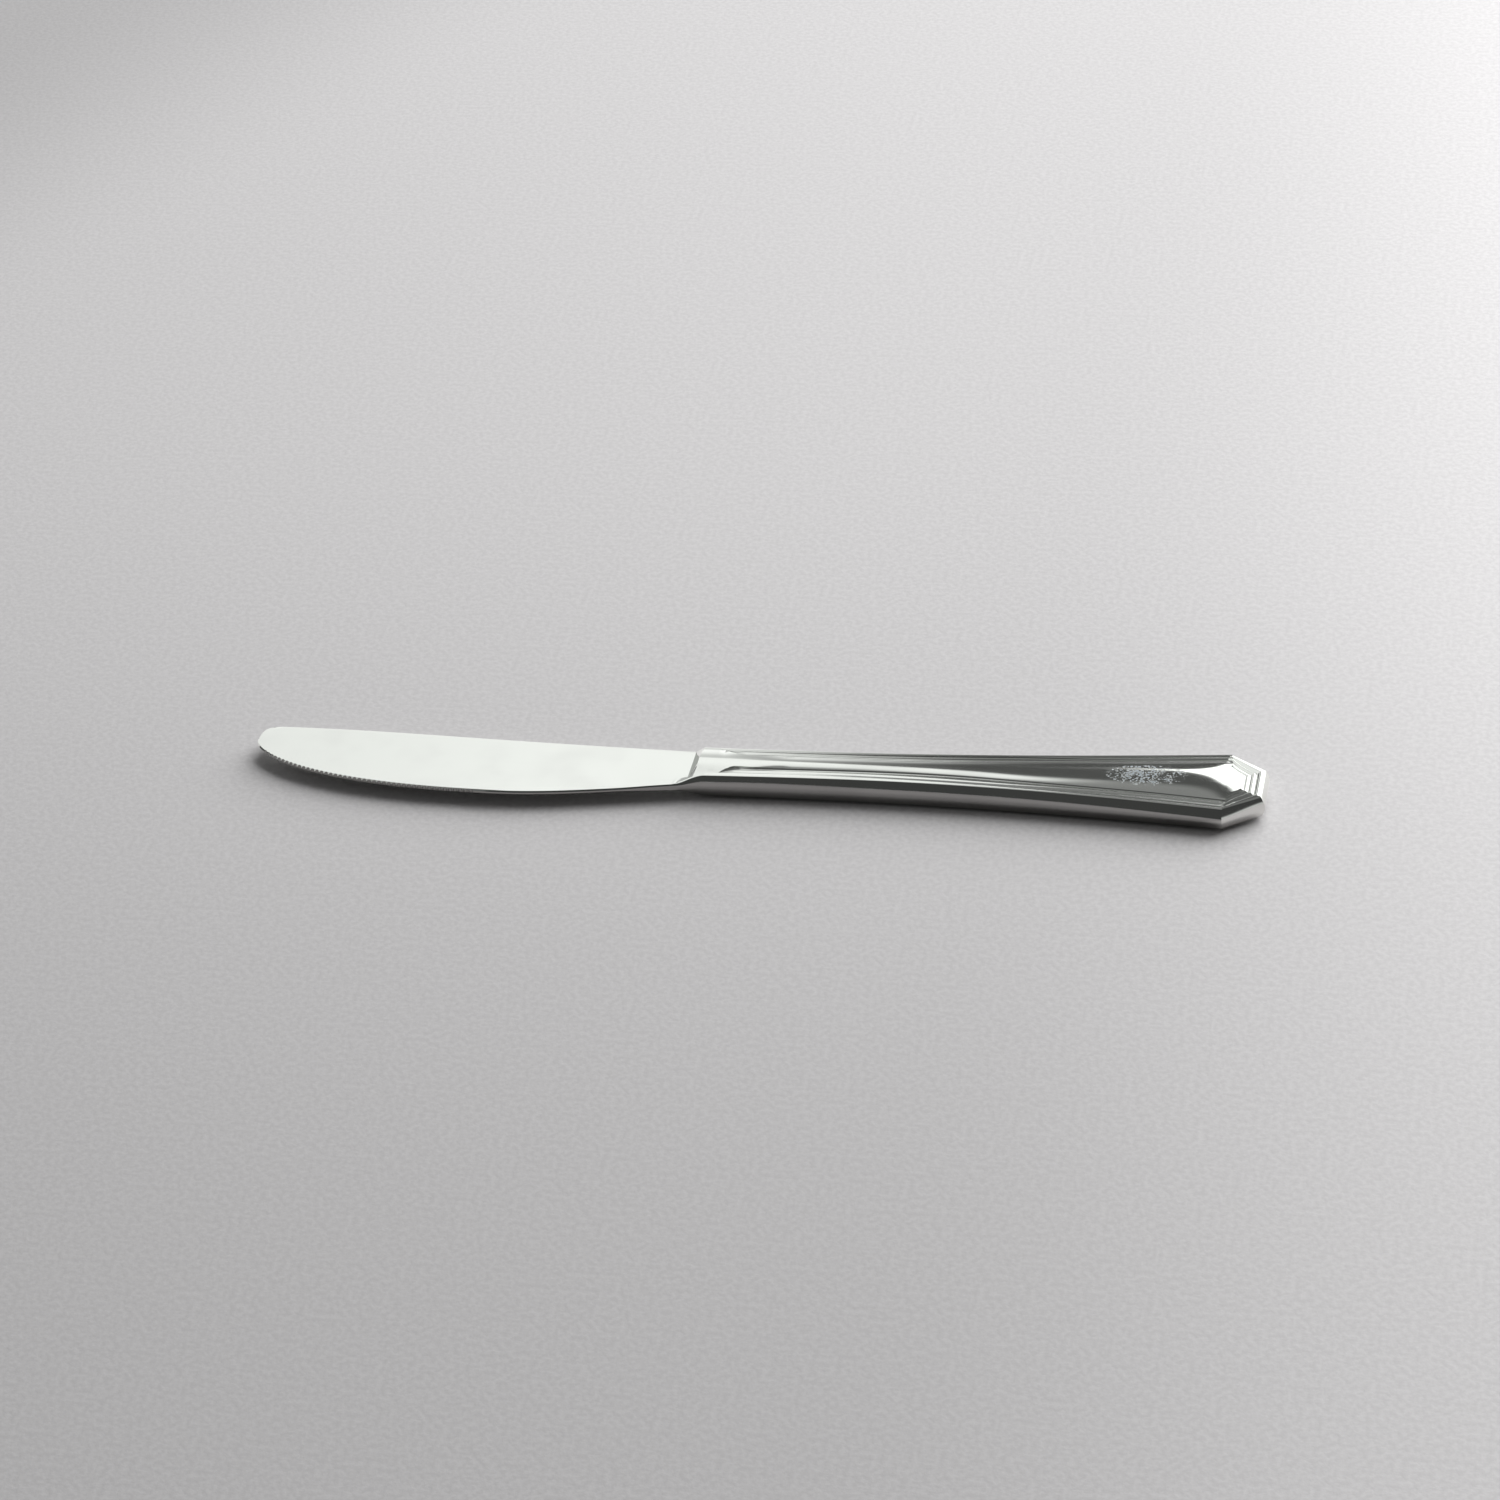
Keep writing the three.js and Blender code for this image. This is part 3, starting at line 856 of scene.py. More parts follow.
    def moulding(self, x: float) -> list[Point]:
        """Line of the border at x from the crest to the panel's edge, as steps in and rises.

        Args:
            x: Place along the knife.

        Returns:
            The line's points.
        """
        sweep = self.border_sweep(x)
        first_share, second_share = self.bead_share(x), self.second_share(x)
        ending = smooth(x, self.corner_x, self.corner_x + self.end_groove_run)
        groove_width = blend(self.groove_width * first_share, self.end_groove_width, ending)
        bead_width = self.bead_width * first_share
        quirk_width = self.quirk_width * sweep
        second_width = self.second_bead_width * second_share
        spread = smooth(x, *self.bead_spread)
        quirk_depth = self.quirk_depth * blend(self.neck_quirk_share, 1.0, smooth(x, *self.quirk_deepening))
        groove_depth = blend(self.groove_depth * spread, self.end_groove_depth, ending)
        scoop = 1.0 - smooth(x, self.border_start, self.border_start + self.scoop_length)
        valley_depth = blend(self.valley_depth, self.scoop_depth, scoop)
        bead = groove_width
        quirk = bead + bead_width
        flank = quirk + quirk_width
        second = flank + self.quirk_flank_width * sweep
        valley = second + second_width
        riser = valley + self.valley_width * second_share
        edge = riser + blend(self.riser_width, self.scoop_riser_width, scoop) * min(second_share, 1.0)
        # Groove, bead, quirk, second bead, valley and riser, each in shares of its own width and depth
        line = [
            (0.0, 0.0),
            (0.3 * groove_width, -0.5 * groove_depth),
            (0.5 * groove_width, -groove_depth),
            (0.75 * groove_width, -groove_depth),
            (bead, -0.3 * groove_depth),
            (bead + 0.3 * bead_width, 0.0),
            (bead + 0.7 * bead_width, -self.bead_lean * spread),
            (quirk, -0.3 * quirk_depth),
            (blend(quirk, flank, 0.5), -quirk_depth),
            (flank, -quirk_depth),
            (second, -self.second_bead_foot),
            (second + 0.4 * second_width, -blend(self.second_bead_foot, self.second_bead_drop, 0.75)),
            (second + 0.8 * second_width, -self.second_bead_drop),
            (valley, -valley_depth),
            (riser, -valley_depth),
            (blend(riser, edge, 0.5), 0.5 * (self.panel_rise - valley_depth)),
            (blend(riser, edge, 0.85), 0.9 * self.panel_rise),
            (edge, self.panel_rise),
        ]
        return [(across, rise * sweep) for across, rise in rounded(line, self.moulding_passes)]

    def side_stations(self) -> list[Station]:
        """Places down the long side, close together where the border sweeps in.

        Returns:
            The stations from the joint to just short of the corner.
        """
        run_in = [self.border_run_in * (i / self.run_in_steps) ** 2 for i in range(self.run_in_steps + 1)]
        places = [self.joint_x] + [self.border_start + step for step in run_in]
        rest = np.linspace(places[-1], self.corner_x - self.mitre_gap, self.side_steps + 1)[1:]
        places += [float(x) for x in rest]
        made = []
        for i, x in enumerate(places):
            share = self.side.share_at(x)
            along = self.side.direction(share) if i else np.array([1.0, 0.0])
            outline = np.array([x, self.side.point(share)[1]])
            made.append(Station(outline, np.array([along[1], -along[0]]), x))
        return made

    def cut_stations(self) -> list[Station]:
        """Places down the cut corner, with a close pair at each of its mitres.

        Returns:
            The stations from the corner to the butt's end.
        """
        side_turn = math.atan(self.butt_flare)
        cut_turn = -math.atan2((self.butt_width - self.butt_end_width) / 2, self.corner_cut)
        start = np.array([self.corner_x, self.butt_width / 2])
        start_inward = self.mitre(side_turn, cut_turn)
        end = np.array([self.butt_x, self.butt_end_width / 2])
        end_inward = self.mitre(cut_turn, -math.pi / 2)
        gap = self.mitre_gap / self.corner_cut
        made = []
        for share in [0.0, gap, *np.linspace(0, 1, self.cut_steps + 1)[1:-1], 1.0 - gap, 1.0]:
            outline = blend(start, end, share)
            made.append(Station(outline, blend(start_inward, end_inward, share), float(outline[0])))
        return made

    @staticmethod
    def mitre(before: float, after: float) -> np.ndarray:
        """Inward step of unit width at a corner.

        Args:
            before: Direction of the side before the corner, in radians.
            after: Direction of the side after it.

        Returns:
            The step's x and y.
        """
        middle = (before + after) / 2
        length = 1.0 / math.cos((before - after) / 2)
        return np.array([math.sin(middle), -math.cos(middle)]) * length

    def outside(self, x: float) -> list[Point]:
        """Outside section from the middle plane to the panel's edge.

        Args:
            x: Place along the knife.

        Returns:
            Steps in from the outline and heights.
        """
        side = self.side_section(x, self.draft_steps, self.crest_steps)
        crest_step, crest = side[-1]
        border = [(crest_step + across, crest + rise) for across, rise in self.moulding(x)[1:]]
        return [(0.0, 0.0), *side, *border]

    def inside(self, x: float) -> list[Point]:
        """Inside section, a wall within the outside one and with as many points.

        Args:
            x: Place along the knife.

        Returns:
            Steps in from the outline and heights.
        """
        under = self.quirk_depth + self.wall
        # Inside, one bend half-way up the side is enough
        side = self.side_section(x, 2, 1)
        crest_step, crest = side[-1]
        middle_step, middle_height = side[1]
        inner_step = crest_step + self.wall / 2
        line = np.array(
            [
                (self.wall, 0.0),
                (self.wall, self.seam_land),
                (middle_step + self.wall, middle_height - self.wall / 2),
                (inner_step, crest - under),
                (inner_step + self.moulding(x)[-1][0] - self.riser_width, crest - under),
            ]
        )
        known = np.arange(len(line))
        places = np.linspace(0, len(line) - 1, len(self.outside(x)))
        return list(zip(np.interp(places, known, line[:, 0]), np.interp(places, known, line[:, 1])))

    def add_rings(
        self, sketch: MeshSketch, stations: list[Station], section: Callable[[float], list[Point]]
    ) -> list[Row]:
        """Adds the rings from the middle plane to the panel's edge, and joins them.

        Args:
            sketch: The mesh that takes them.
            stations: Places down one side.
            section: The section at a place along x.

        Returns:
            The rings, each down one side, across the butt's end and back up the other side.
        """
        sections = [section(station.x) for station in stations]
        shares = [i / self.across_steps for i in range(1, self.across_steps)]
        rings: list[Row] = []
        for k in range(len(sections[0])):
            side = []
            for station, line in zip(stations, sections):
                step, height = line[k]
                side.append(np.array([*(station.outline + station.inward * step), height]))
            mirrored = [point * (1, -1, 1) for point in reversed(side)]
            across = [blend(side[-1], mirrored[0], share) for share in shares]
            rings.append(sketch.row([*side, *across, *mirrored]))
        for lower, upper in zip(rings, rings[1:]):
            sketch.strip(lower, upper)
        return rings

    def add_panel(
        self, sketch: MeshSketch, stations: list[Station], edge: Row, crown: float, full: bool
    ) -> Row:
        """Fills the last ring with the crowned panel.

        Args:
            sketch: The mesh that takes it.
            stations: Places down one side.
            edge: The ring round the panel.
            crown: Height of the panel's middle.
            full: Whether the crown runs on over the border's lead-in and the cut corners.

        Returns:
            The panel's row at the neck's end.
        """
        last = len(stations) - 1
        panel_end = sketch.points[edge[last]][0]
        neck_reach = sketch.points[edge[0]][1]
        corner = next(i for i, station in enumerate(stations) if station.x >= self.corner_x)
        corner_x, corner_y, _ = sketch.points[edge[corner]]
        rows: list[Row] = []
        for i, station in enumerate(stations):
            edge_x, edge_y, edge_z = sketch.points[edge[i]]
            fall = min(max((edge_x - panel_end + self.panel_end_fall) / self.panel_end_fall, 0.0), 1.0)
            lift = (crown - edge_z) * (1.0 - fall**2)
            reach = edge_y
            if full and edge_x > corner_x:
                reach = corner_y + (edge_x - corner_x) * self.butt_flare
            elif full:
                fade = smooth(station.x, self.border_start, self.border_start + self.neck_crown_run)
                reach = blend(neck_reach, edge_y, fade)
            edge_rise = lift * (1.0 - (edge_y / reach) ** 2)
            sketch.points[edge[i]] = np.array([edge_x, edge_y, edge_z + edge_rise])
            sketch.points[edge[-1 - i]] = np.array([edge_x, -edge_y, edge_z + edge_rise])
            inner = []
            for j in range(1, self.across_steps):
                across = edge_y * (1.0 - 2.0 * j / self.across_steps)
                inner.append((edge_x, across, edge_z + lift * (1.0 - (across / reach) ** 2)))
            if i == last:
                rows.append(edge[i : i + self.across_steps + 1])
            else:
                rows.append([edge[i], *sketch.row(inner), edge[-1 - i]])
        for before, after in zip(rows, rows[1:]):
            sketch.strip(before, after)
        return rows[0]

    def surface(
        self, sketch: MeshSketch, section: Callable[[float], list[Point]], crown: float, full: bool
    ) -> tuple[Row, Row]:
        """Adds one surface of the upper shell.

        Args:
            sketch: The mesh that takes it.
            section: The section at a place along x.
            crown: Height of the panel's middle.
            full: Whether the crown runs on over the border's lead-in and the cut corners.

        Returns:
            The loop on the middle plane and the line round the neck's end.
        """
        stations = [*self.side_stations(), *self.cut_stations()]
        rings = self.add_rings(sketch, stations, section)
        neck_row = self.add_panel(sketch, stations, rings[-1], crown, full)
        end = [ring[0] for ring in rings] + neck_row[1:-1] + [ring[-1] for ring in reversed(rings)]
        return rings[0], end

    def build_shell(self, half: Half) -> bpy.types.Object:
        """Builds one half shell as a closed wall.

        Args:
            half: Which half.

        Returns:
            The piece.
        """
        sketch = MeshSketch()
        outer_loop, outer_end = self.surface(sketch, self.outside, self.middle, True)
        inner_loop, inner_end = self.surface(sketch, self.inside, self.middle - self.wall, False)
        sketch.strip(outer_loop, inner_loop)
        sketch.strip(outer_end, inner_end)
        sketch.points = [point * (1, 1, half.value) for point in sketch.points]
        return sketch.build(f"{half.name.lower()}_shell", self.middle, self.crease)

    def dress(self) -> None:
        """Builds and dresses the shells, and gives the core its cement."""
        steel = self.finish.material()
        settle(self.build_shell(Half.UPPER), "handle_shell_top", Slot.HANDLE, steel)
        settle(self.build_shell(Half.LOWER), "handle_shell_bottom", Slot.HANDLE, steel)
        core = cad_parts["handle_core"]
        core.data.materials.clear()
        core.data.materials.append(self.core_finish.material())
        log.info("handle_core keeps its CAD shape")


@dataclass
class ForgedBlade:
    """Blade, shoulder, bolster and tang in one forging. Lengths are in millimetres."""

    handle: HollowHandle
    length: float = 92.9
    bolster: float = 5.4
    spine_heel: float = 5.38
    spine_middle: float = 6.88
    spine_top: float = 9.05
    spine_setback: float = 4.4
    spine_reach: float = 26.0
    nose_shoulder: float = 1.4
    nose_drop: float = 0.45
    tip_offset: float = 4.5
    tip_flat: float = 1.4
    belly: float = 10.05
    belly_setback: float = 55.5
    belly_reach: float = 41.0
    belly_lead: float = 1.5
    belly_tip_drop: float = 5.0
    heel_reach: float = 15.0
    heel_lead: float = 5.1
    spine_thickness_heel: float = 2.0
    spine_thickness_tip: float = 1.4
    spine_round: float = 0.3
    edge_thickness: float = 0.36
    bevel_thickness: float = 0.96
    tip_bevel_width: float = 0.2
    bevel_width: float = 0.34
    bevel_widening: float = 30.0
    plain_bevel_width: float = 0.22
    bevel_narrowing: float = 7.0
    heel_edge_thickness: float = 1.1
    heel_bevel_thickness: float = 1.6
    heel_thickening: float = 15.0
    shoulder: float = 1.9
    flare: float = 7.0
    flare_lead_out: float = 2.1
    flare_share: float = 0.22
    tooth_pitch: float = 1.1
    tooth_depth: float = 0.34
    tooth_radius: float = 0.44
    tooth_count: int = 45
    first_tooth: float = 4.4
    tang_length: float = 62.0
    tang_overlap: float = 1.2
    tang_root: float = 4.6
    tang_end: float = 3.2
    tang_thickness: float = 1.4
    edge_steps: int = 10
    face_steps: int = 14
    bolster_draft_steps: int = 6
    belly_samples: int = 4000
    tang_round_steps: int = 12
    rows_per_tooth: int = 10
    plain_rows: int = 60
    flare_rows: int = 26
    shoulder_rows: int = 8
    neck_rows: int = 8
    crease: float = 25.0
    finish: PolishedSteel = PolishedSteel("blade_polish")

    def __post_init__(self) -> None:
        """Works out the places and curves that the sizes give."""
        self.joint_x = self.handle.joint_x
        self.shoulder_x = self.joint_x - self.bolster
        self.tip_x = self.shoulder_x - self.length
        self.flare_end = self.shoulder_x + self.shoulder + self.flare_lead_out
        self.flare_start = self.flare_end - self.flare
        heel = -self.handle.neck_width / 2
        top_x = self.tip_x + self.spine_setback
        belly_x = self.tip_x + self.belly_setback
        self.nose = PlanCurve(
            (self.tip_x, self.tip_offset + self.tip_flat / 2),
            (self.tip_x, self.spine_top - self.nose_drop),
            (self.tip_x + self.nose_shoulder, self.spine_top),
            (top_x, self.spine_top),
        )
        self.spine = PlanCurve(
            (top_x, self.spine_top),
            (top_x + self.spine_reach, self.spine_top),
            (self.tip_x + self.length / 2, self.spine_middle),
            (self.shoulder_x, self.spine_heel),
        )
        self.belly_curve = PlanCurve(
            (self.tip_x, self.tip_offset - self.tip_flat / 2),
            (self.tip_x + self.belly_lead, self.tip_offset - self.belly_tip_drop),
            (belly_x - self.belly_reach, -self.belly),
            (belly_x, -self.belly),
        )
        self.heel = PlanCurve(
            (belly_x, -self.belly),
            (belly_x + self.heel_reach, -self.belly),
            (self.shoulder_x - self.heel_lead, heel),
            (self.joint_x, heel),
        )
        samples = np.array([self.belly_curve.point(t) for t in np.linspace(0, 1, self.belly_samples)])
        lengths = np.linalg.norm(np.diff(samples, axis=0), axis=1)
        self.belly_x = samples[:, 0]
        self.belly_run = np.concatenate([[0.0], np.cumsum(lengths)])
        self.teeth_run = self.first_tooth + self.tooth_count * self.tooth_pitch
        self.teeth_end = float(np.interp(self.teeth_run, self.belly_run, self.belly_x))

    def spine_at(self, x: float) -> tuple[np.ndarray, np.ndarray]:
        """The back of the blade.

        Args:
            x: Place along the knife.

        Returns:
            Its point there and the direction into the blade.
        """
        x = min(x, self.shoulder_x)
        curve = self.nose if x < self.nose.end[0] else self.spine
        share = curve.share_at(x)
        along = curve.direction(share)
        return np.array([x, curve.point(share)[1]]), np.array([along[1], -along[0]])

    def edge_at(self, x: float) -> tuple[np.ndarray, np.ndarray]:
        """The cutting edge, without its gullets.

        Args:
            x: Place along the knife.

        Returns:
            Its point there and the direction into the blade.
        """
        curve = self.belly_curve if x < self.belly_curve.end[0] else self.heel
        share = curve.share_at(x)
        along = curve.direction(share)
        return np.array([x, curve.point(share)[1]]), np.array([-along[1], along[0]])

    def gullet(self, x: float) -> float:
        """Depth of the gullet that the edge has.

        Args:
            x: Place along the knife.

        Returns:
            The depth, 0 between two gullets.
        """
        run = float(np.interp(x, self.belly_x, self.belly_run))
        tooth = round((run - self.first_tooth) / self.tooth_pitch)
        if not 0 <= tooth < self.tooth_count or x >= self.belly_x[-1]:
            return 0.0
        aside = run - self.first_tooth - tooth * self.tooth_pitch
        if abs(aside) >= self.tooth_radius:
            return 0.0
        return max(math.sqrt(self.tooth_radius**2 - aside**2) - self.tooth_radius + self.tooth_depth, 0.0)

    def bevel_at(self, x: float) -> float:
        """Width of the edge's bevel, widest where the teeth end and narrow on the plain edge.

        Args:
            x: Place along the knife.

        Returns:
            The width.
        """
        widening = smooth(x, self.tip_x, self.tip_x + self.bevel_widening)
        narrowing = smooth(x, self.teeth_end, self.teeth_end + self.bevel_narrowing)
        toothed = blend(self.tip_bevel_width, self.bevel_width, widening)
        return blend(toothed, self.plain_bevel_width, narrowing)

    def rows(self) -> list[float]:
        """Places of the sections, close together along the teeth.

        Returns:
            The places along x from the tip to the joint.
        """
        count = round(self.teeth_run / self.tooth_pitch * self.rows_per_tooth)
        runs = np.linspace(0, self.teeth_run, count)
        places = [np.interp(run, self.belly_run, self.belly_x) for run in runs]
        shoulder_end = self.shoulder_x + self.shoulder
        for end, steps in (
            (self.flare_start, self.plain_rows),
            (self.shoulder_x, self.flare_rows),
            (shoulder_end, self.shoulder_rows),
            (self.joint_x, self.neck_rows),
        ):
            places += list(np.linspace(places[-1], end, steps)[1:])
        return [float(x) for x in places]

    def blade_section(self, x: float) -> list[np.ndarray]:
        """Upper half of the blade's section.

        Args:
            x: Place along the knife.

        Returns:
            Points from the edge to the back.
        """
        edge_point, edge_in = self.edge_at(x)
        back_point, back_in = self.spine_at(x)
        back_point = np.array([x, back_point[1]])
        heel = smooth(x, self.shoulder_x - self.heel_thickening, self.shoulder_x)
        spine = blend(self.spine_thickness_tip, self.spine_thickness_heel, (x - self.tip_x) / self.length) / 2
        edge = blend(self.edge_thickness, self.heel_edge_thickness, heel) / 2
        top = blend(self.bevel_thickness, self.heel_bevel_thickness, heel) / 2
        nose = smooth(x, self.tip_x, self.tip_x + self.spine_setback)
        cut = self.gullet(x)
        bevel = self.bevel_at(x)
        front = []
        back = []
        for i in range(self.edge_steps + 1):
            share = i / self.edge_steps
            step = blend(cut, max(bevel, cut), share)
            height = blend(edge, top, min(step / bevel, 1.0))
            front.append(np.array([*(edge_point + edge_in * step), height]))
            angle = math.pi / 2 * share
            round_step = self.spine_round * (1.0 - math.cos(angle))
            round_height = spine - self.spine_round * (1.0 - math.sin(angle))
            back_step = blend(bevel * share, round_step, nose)
            back_height = blend(blend(edge, top, share), round_height, nose)
            back.append(np.array([*(back_point + back_in * back_step), back_height]))
        shares = [j / self.face_steps for j in range(1, self.face_steps)]
        face = [blend(front[-1], back[-1], share) for share in shares]
        return [*front, *face, *reversed(back)]

    def bolster_section(self, x: float) -> list[np.ndarray]:
        """Upper half of the bolster's section, with as many points as the blade's.

        Args:
            x: Place along the knife.

        Returns:
            Points from the edge's side to the back.
        """
        half = self.handle.neck_width / 2
        crest_steps = self.edge_steps - self.bolster_draft_steps
        joint = self.handle.side_section(self.joint_x, self.bolster_draft_steps, crest_steps)
        side = [(half - step, height) for step, height in joint]
        crest, crest_height = side[-1]
        face = []
        for j in range(1, self.face_steps):
            share = 1.0 - 2.0 * j / self.face_steps
            rise = (self.handle.middle - crest_height) * (1.0 - share**2)
            face.append((crest * share, crest_height + rise))
        line = [(-y, z) for y, z in [*side, *face]] + list(reversed(side))
        return [np.array([x, y, z]) for y, z in line]

    def section(self, x: float) -> list[np.ndarray]:
        """Upper half of the section: the blade's, the bolster's, or what lies between them.

        Args:
            x: Place along the knife.

        Returns:
            Points from the edge's side to the back.
        """
        blade = self.blade_section(x)
        if x <= self.flare_start:
            return blade
        bolster = self.bolster_section(x)
        flare = smooth(x, self.flare_start, self.flare_end)
        step = min(max((x - self.shoulder_x) / self.shoulder, 0.0), 1.0)
        made = []
        for i, (thin, thick) in enumerate(zip(blade, bolster)):
            across = (i - self.edge_steps) / self.face_steps
            made.append(blend(thin, thick, blend(flare, step, smooth(across, 0.0, self.flare_share))))
        return made

    def build(self) -> bpy.types.Object:
        """Builds the forging.

        Returns:
            The piece.
        """
        sketch = MeshSketch()
        sections = [self.section(x) for x in self.rows()]
        upper = [sketch.row(points) for points in sections]
        lower = [sketch.row(point * (1, 1, -1) for point in points) for points in sections]
        for side in (upper, lower):
            for before, after in zip(side, side[1:]):
                sketch.strip(before, after)
        for column in (0, -1):
            sketch.strip([row[column] for row in upper], [row[column] for row in lower])
        sketch.strip(upper[-1], lower[-1])
        self.close_tip(sketch, upper[0], lower[0])
        self.add_tang(sketch)
        return sketch.build("polished_blade", self.handle.middle, self.crease)

    def close_tip(self, sketch: MeshSketch, upper: Row, lower: Row) -> None:
        """Closes the short flat at the tip, ring by ring from the edge line to the faces.

        Args:
            sketch: The blade's mesh.
            upper: First row of the upper face.
            lower: First row of the lower face.
        """
        shares = [j / self.face_steps for j in range(1, self.face_steps)]
        outer = []
        for row in (upper, lower):
            rings = []
            for k in range(self.edge_steps):
                first, last = row[k], row[-1 - k]
                inner = [blend(sketch.points[first], sketch.points[last], share) for share in shares]
                rings.append([first, *sketch.row(inner), last])
            rings.append(row[self.edge_steps : len(row) - self.edge_steps])
            for before, after in zip(rings, rings[1:]):
                sketch.strip(before, after)
            outer.append(rings[0])
        sketch.strip(outer[0], outer[1])

    def add_tang(self, sketch: MeshSketch) -> None:
        """Adds the tapered tang that runs into the core.

        Args:
            sketch: The blade's mesh.
        """
        start = self.joint_x - self.tang_overlap
        end_round = self.tang_end / 2
        round_x = self.joint_x + self.tang_length - end_round
        outline = [(start, -self.tang_root / 2)]
        for i in range(self.tang_round_steps + 1):
            angle = -math.pi / 2 + math.pi * i / self.tang_round_steps
            outline.append((round_x + end_round * math.cos(angle), end_round * math.sin(angle)))
        outline.append((start, self.tang_root / 2))
        top = sketch.row((x, y, self.tang_thickness / 2) for x, y in outline)
        bottom = sketch.row((x, y, -self.tang_thickness / 2) for x, y in outline)
        sketch.strip(top, bottom, closed=True)
        sketch.faces += [tuple(top), tuple(reversed(bottom))]

    def dress(self) -> None:
        """Builds and dresses the blade."""
        settle(self.build(), "blade", Slot.BLADE, self.finish.material())


# Studio


@dataclass(frozen=True)
class Direction:
    """Where a ray leaves the scene, as outputs of the world's nodes.

    Across runs from -1 at the left to 1 at the right. The others are in degrees: the turn to the right from
    straight behind the knife, the height above the table, and the roll over the knife from back to front.
    """

    across: Value
    turn: Value
    height: Value
    roll: Value


@dataclass(frozen=True)
class MirroredRoom:
    """Room that the steel mirrors: a ceiling, a lit wall, its shaded side, a window and panels in front.

    Each level is a brightness, and each fade gives the places across, turns or heights where one level turns
    into the next.
    """

    left_ceiling_level: float = 0.95
    right_ceiling_level: float = 0.25
    ceiling_fade: Span = (-2.0, 3.5)
    ceiling_end_height: float = 49.0
    ceiling_end_across: float = -0.156
    ceiling_end_slope: float = 250.0
    corner_level: float = 0.15
    corner_fade: Span = (-0.05, 0.1)
    shade_level: float = 0.88
    shade_end_level: float = 0.09
    shade_fade: Span = (-0.255, -0.17)
    shade_top_fade: Span = (43.5, 49.5)
    floor_glow: float = 0.2
    floor_glow_fade: Span = (0.0, 22.0)
    left_glow: float = 0.28
    left_glow_fade: Span = (12.0, 28.0)
    left_glow_side_fade: Span = (-0.2, -0.15)
    foot_level: float = 0.48
    foot_fade: Span = (5.0, 27.0)
    foot_side_fade: Span = (-0.262, -0.248)
    shoulder_level: float = 0.5
    shoulder_fade: Span = (-0.44, -0.41)
    left_end_level: float = 0.07
    left_end_fade: Span = (-0.575, -0.545)
    lit_strip_rise: Span = (9.0, 12.0)
    lit_strip_fall: Span = (26.0, 30.0)
    wall_level: float = 1.12
    tip_wall_level: float = 1.0
    tip_wall_fade: Span = (-0.34, -0.24)
    wall_ceiling_fade: Span = (42.0, 66.0)
    wall_bottom_fade: Span = (29.0, 33.0)
    wall_end_fade: Span = (-15.5, -14.6)
    wall_end_lean: float = 0.15
    wall_end_height: float = 35.0
    wall_end_most_rise: float = 9.0
    wall_top_fade: Span = (-1.0, 3.0)
    wall_top_side_fade: Span = (-0.19, -0.16)
    window_level: float = 2.0
    window_left_fade: Span = (-8.7, -8.1)
    window_lean: float = 0.5
    window_lean_height: float = 26.7
    window_right_fade: Span = (70.0, 85.0)
    window_top_fade: Span = (38.8, 40.4)
    sill_height: float = 24.6
    sill_turn: float = -3.5
    sill_slope: float = 12.0
    sill_fade: Span = (0.0, 1.0)
    front_level: float = 0.052
    front_fade: Span = (97.0, 122.0)
    panel_level: float = 0.6
    left_panel_turns: tuple[Span, Span] = ((-152.0, -146.0), (-112.0, -98.0))
    left_panel_heights: tuple[Span, Span] = ((2.0, 12.0), (42.0, 60.0))
    right_panel_turns: tuple[Span, Span] = ((116.0, 124.0), (150.0, 156.0))
    right_panel_heights: tuple[Span, Span] = ((-6.0, -4.0), (2.0, 7.0))

    def above_ceiling_end(self, ray: Direction) -> Value:
        """Height above the slanting line at which the ceiling's bright left side ends."""
        slant = (ray.across - self.ceiling_end_across) * self.ceiling_end_slope
        return ray.height - (self.ceiling_end_height - slant)

    def ceiling(self, ray: Direction) -> Value:
        """Brightness of the ceiling.

        Args:
            ray: Direction of the ray.

        Returns:
            The brightness.
        """
        dimming = self.above_ceiling_end(ray).step(*self.ceiling_fade)
        plain = blend(self.left_ceiling_level, self.right_ceiling_level, dimming)
        return blend(plain, self.corner_level, ray.across.step(*self.corner_fade))

    def shade(self, ray: Direction, ceiling: Value) -> Value:
        """Brightness of the shaded side of the wall, from its dark left end to the window.

        Args:
            ray: Direction of the ray.
            ceiling: Brightness of the ceiling above it.

        Returns:
            The brightness.
        """
        across, height = ray.across, ray.height
        shade = blend(self.shade_level, self.shade_end_level, across.step(*self.shade_fade))
        shade = shade + self.floor_glow * (1.0 - height.step(*self.floor_glow_fade))
        left_side = 1.0 - across.step(*self.left_glow_side_fade)
        shade = shade + self.left_glow * (1.0 - height.step(*self.left_glow_fade)) * left_side
        shade = blend(shade, ceiling, height.step(*self.shade_top_fade))
        foot = blend(self.foot_level, self.wall_level, height.step(*self.foot_fade))
        shade = blend(foot, shade, across.step(*self.foot_side_fade))
        unlit = 1.0 - height.band(self.lit_strip_rise, self.lit_strip_fall)
        left_end = (1.0 - across.step(*self.left_end_fade)) * unlit
        shoulder = blend(self.shoulder_level, self.left_end_level, left_end)
        return blend(shoulder, shade, across.step(*self.shoulder_fade))

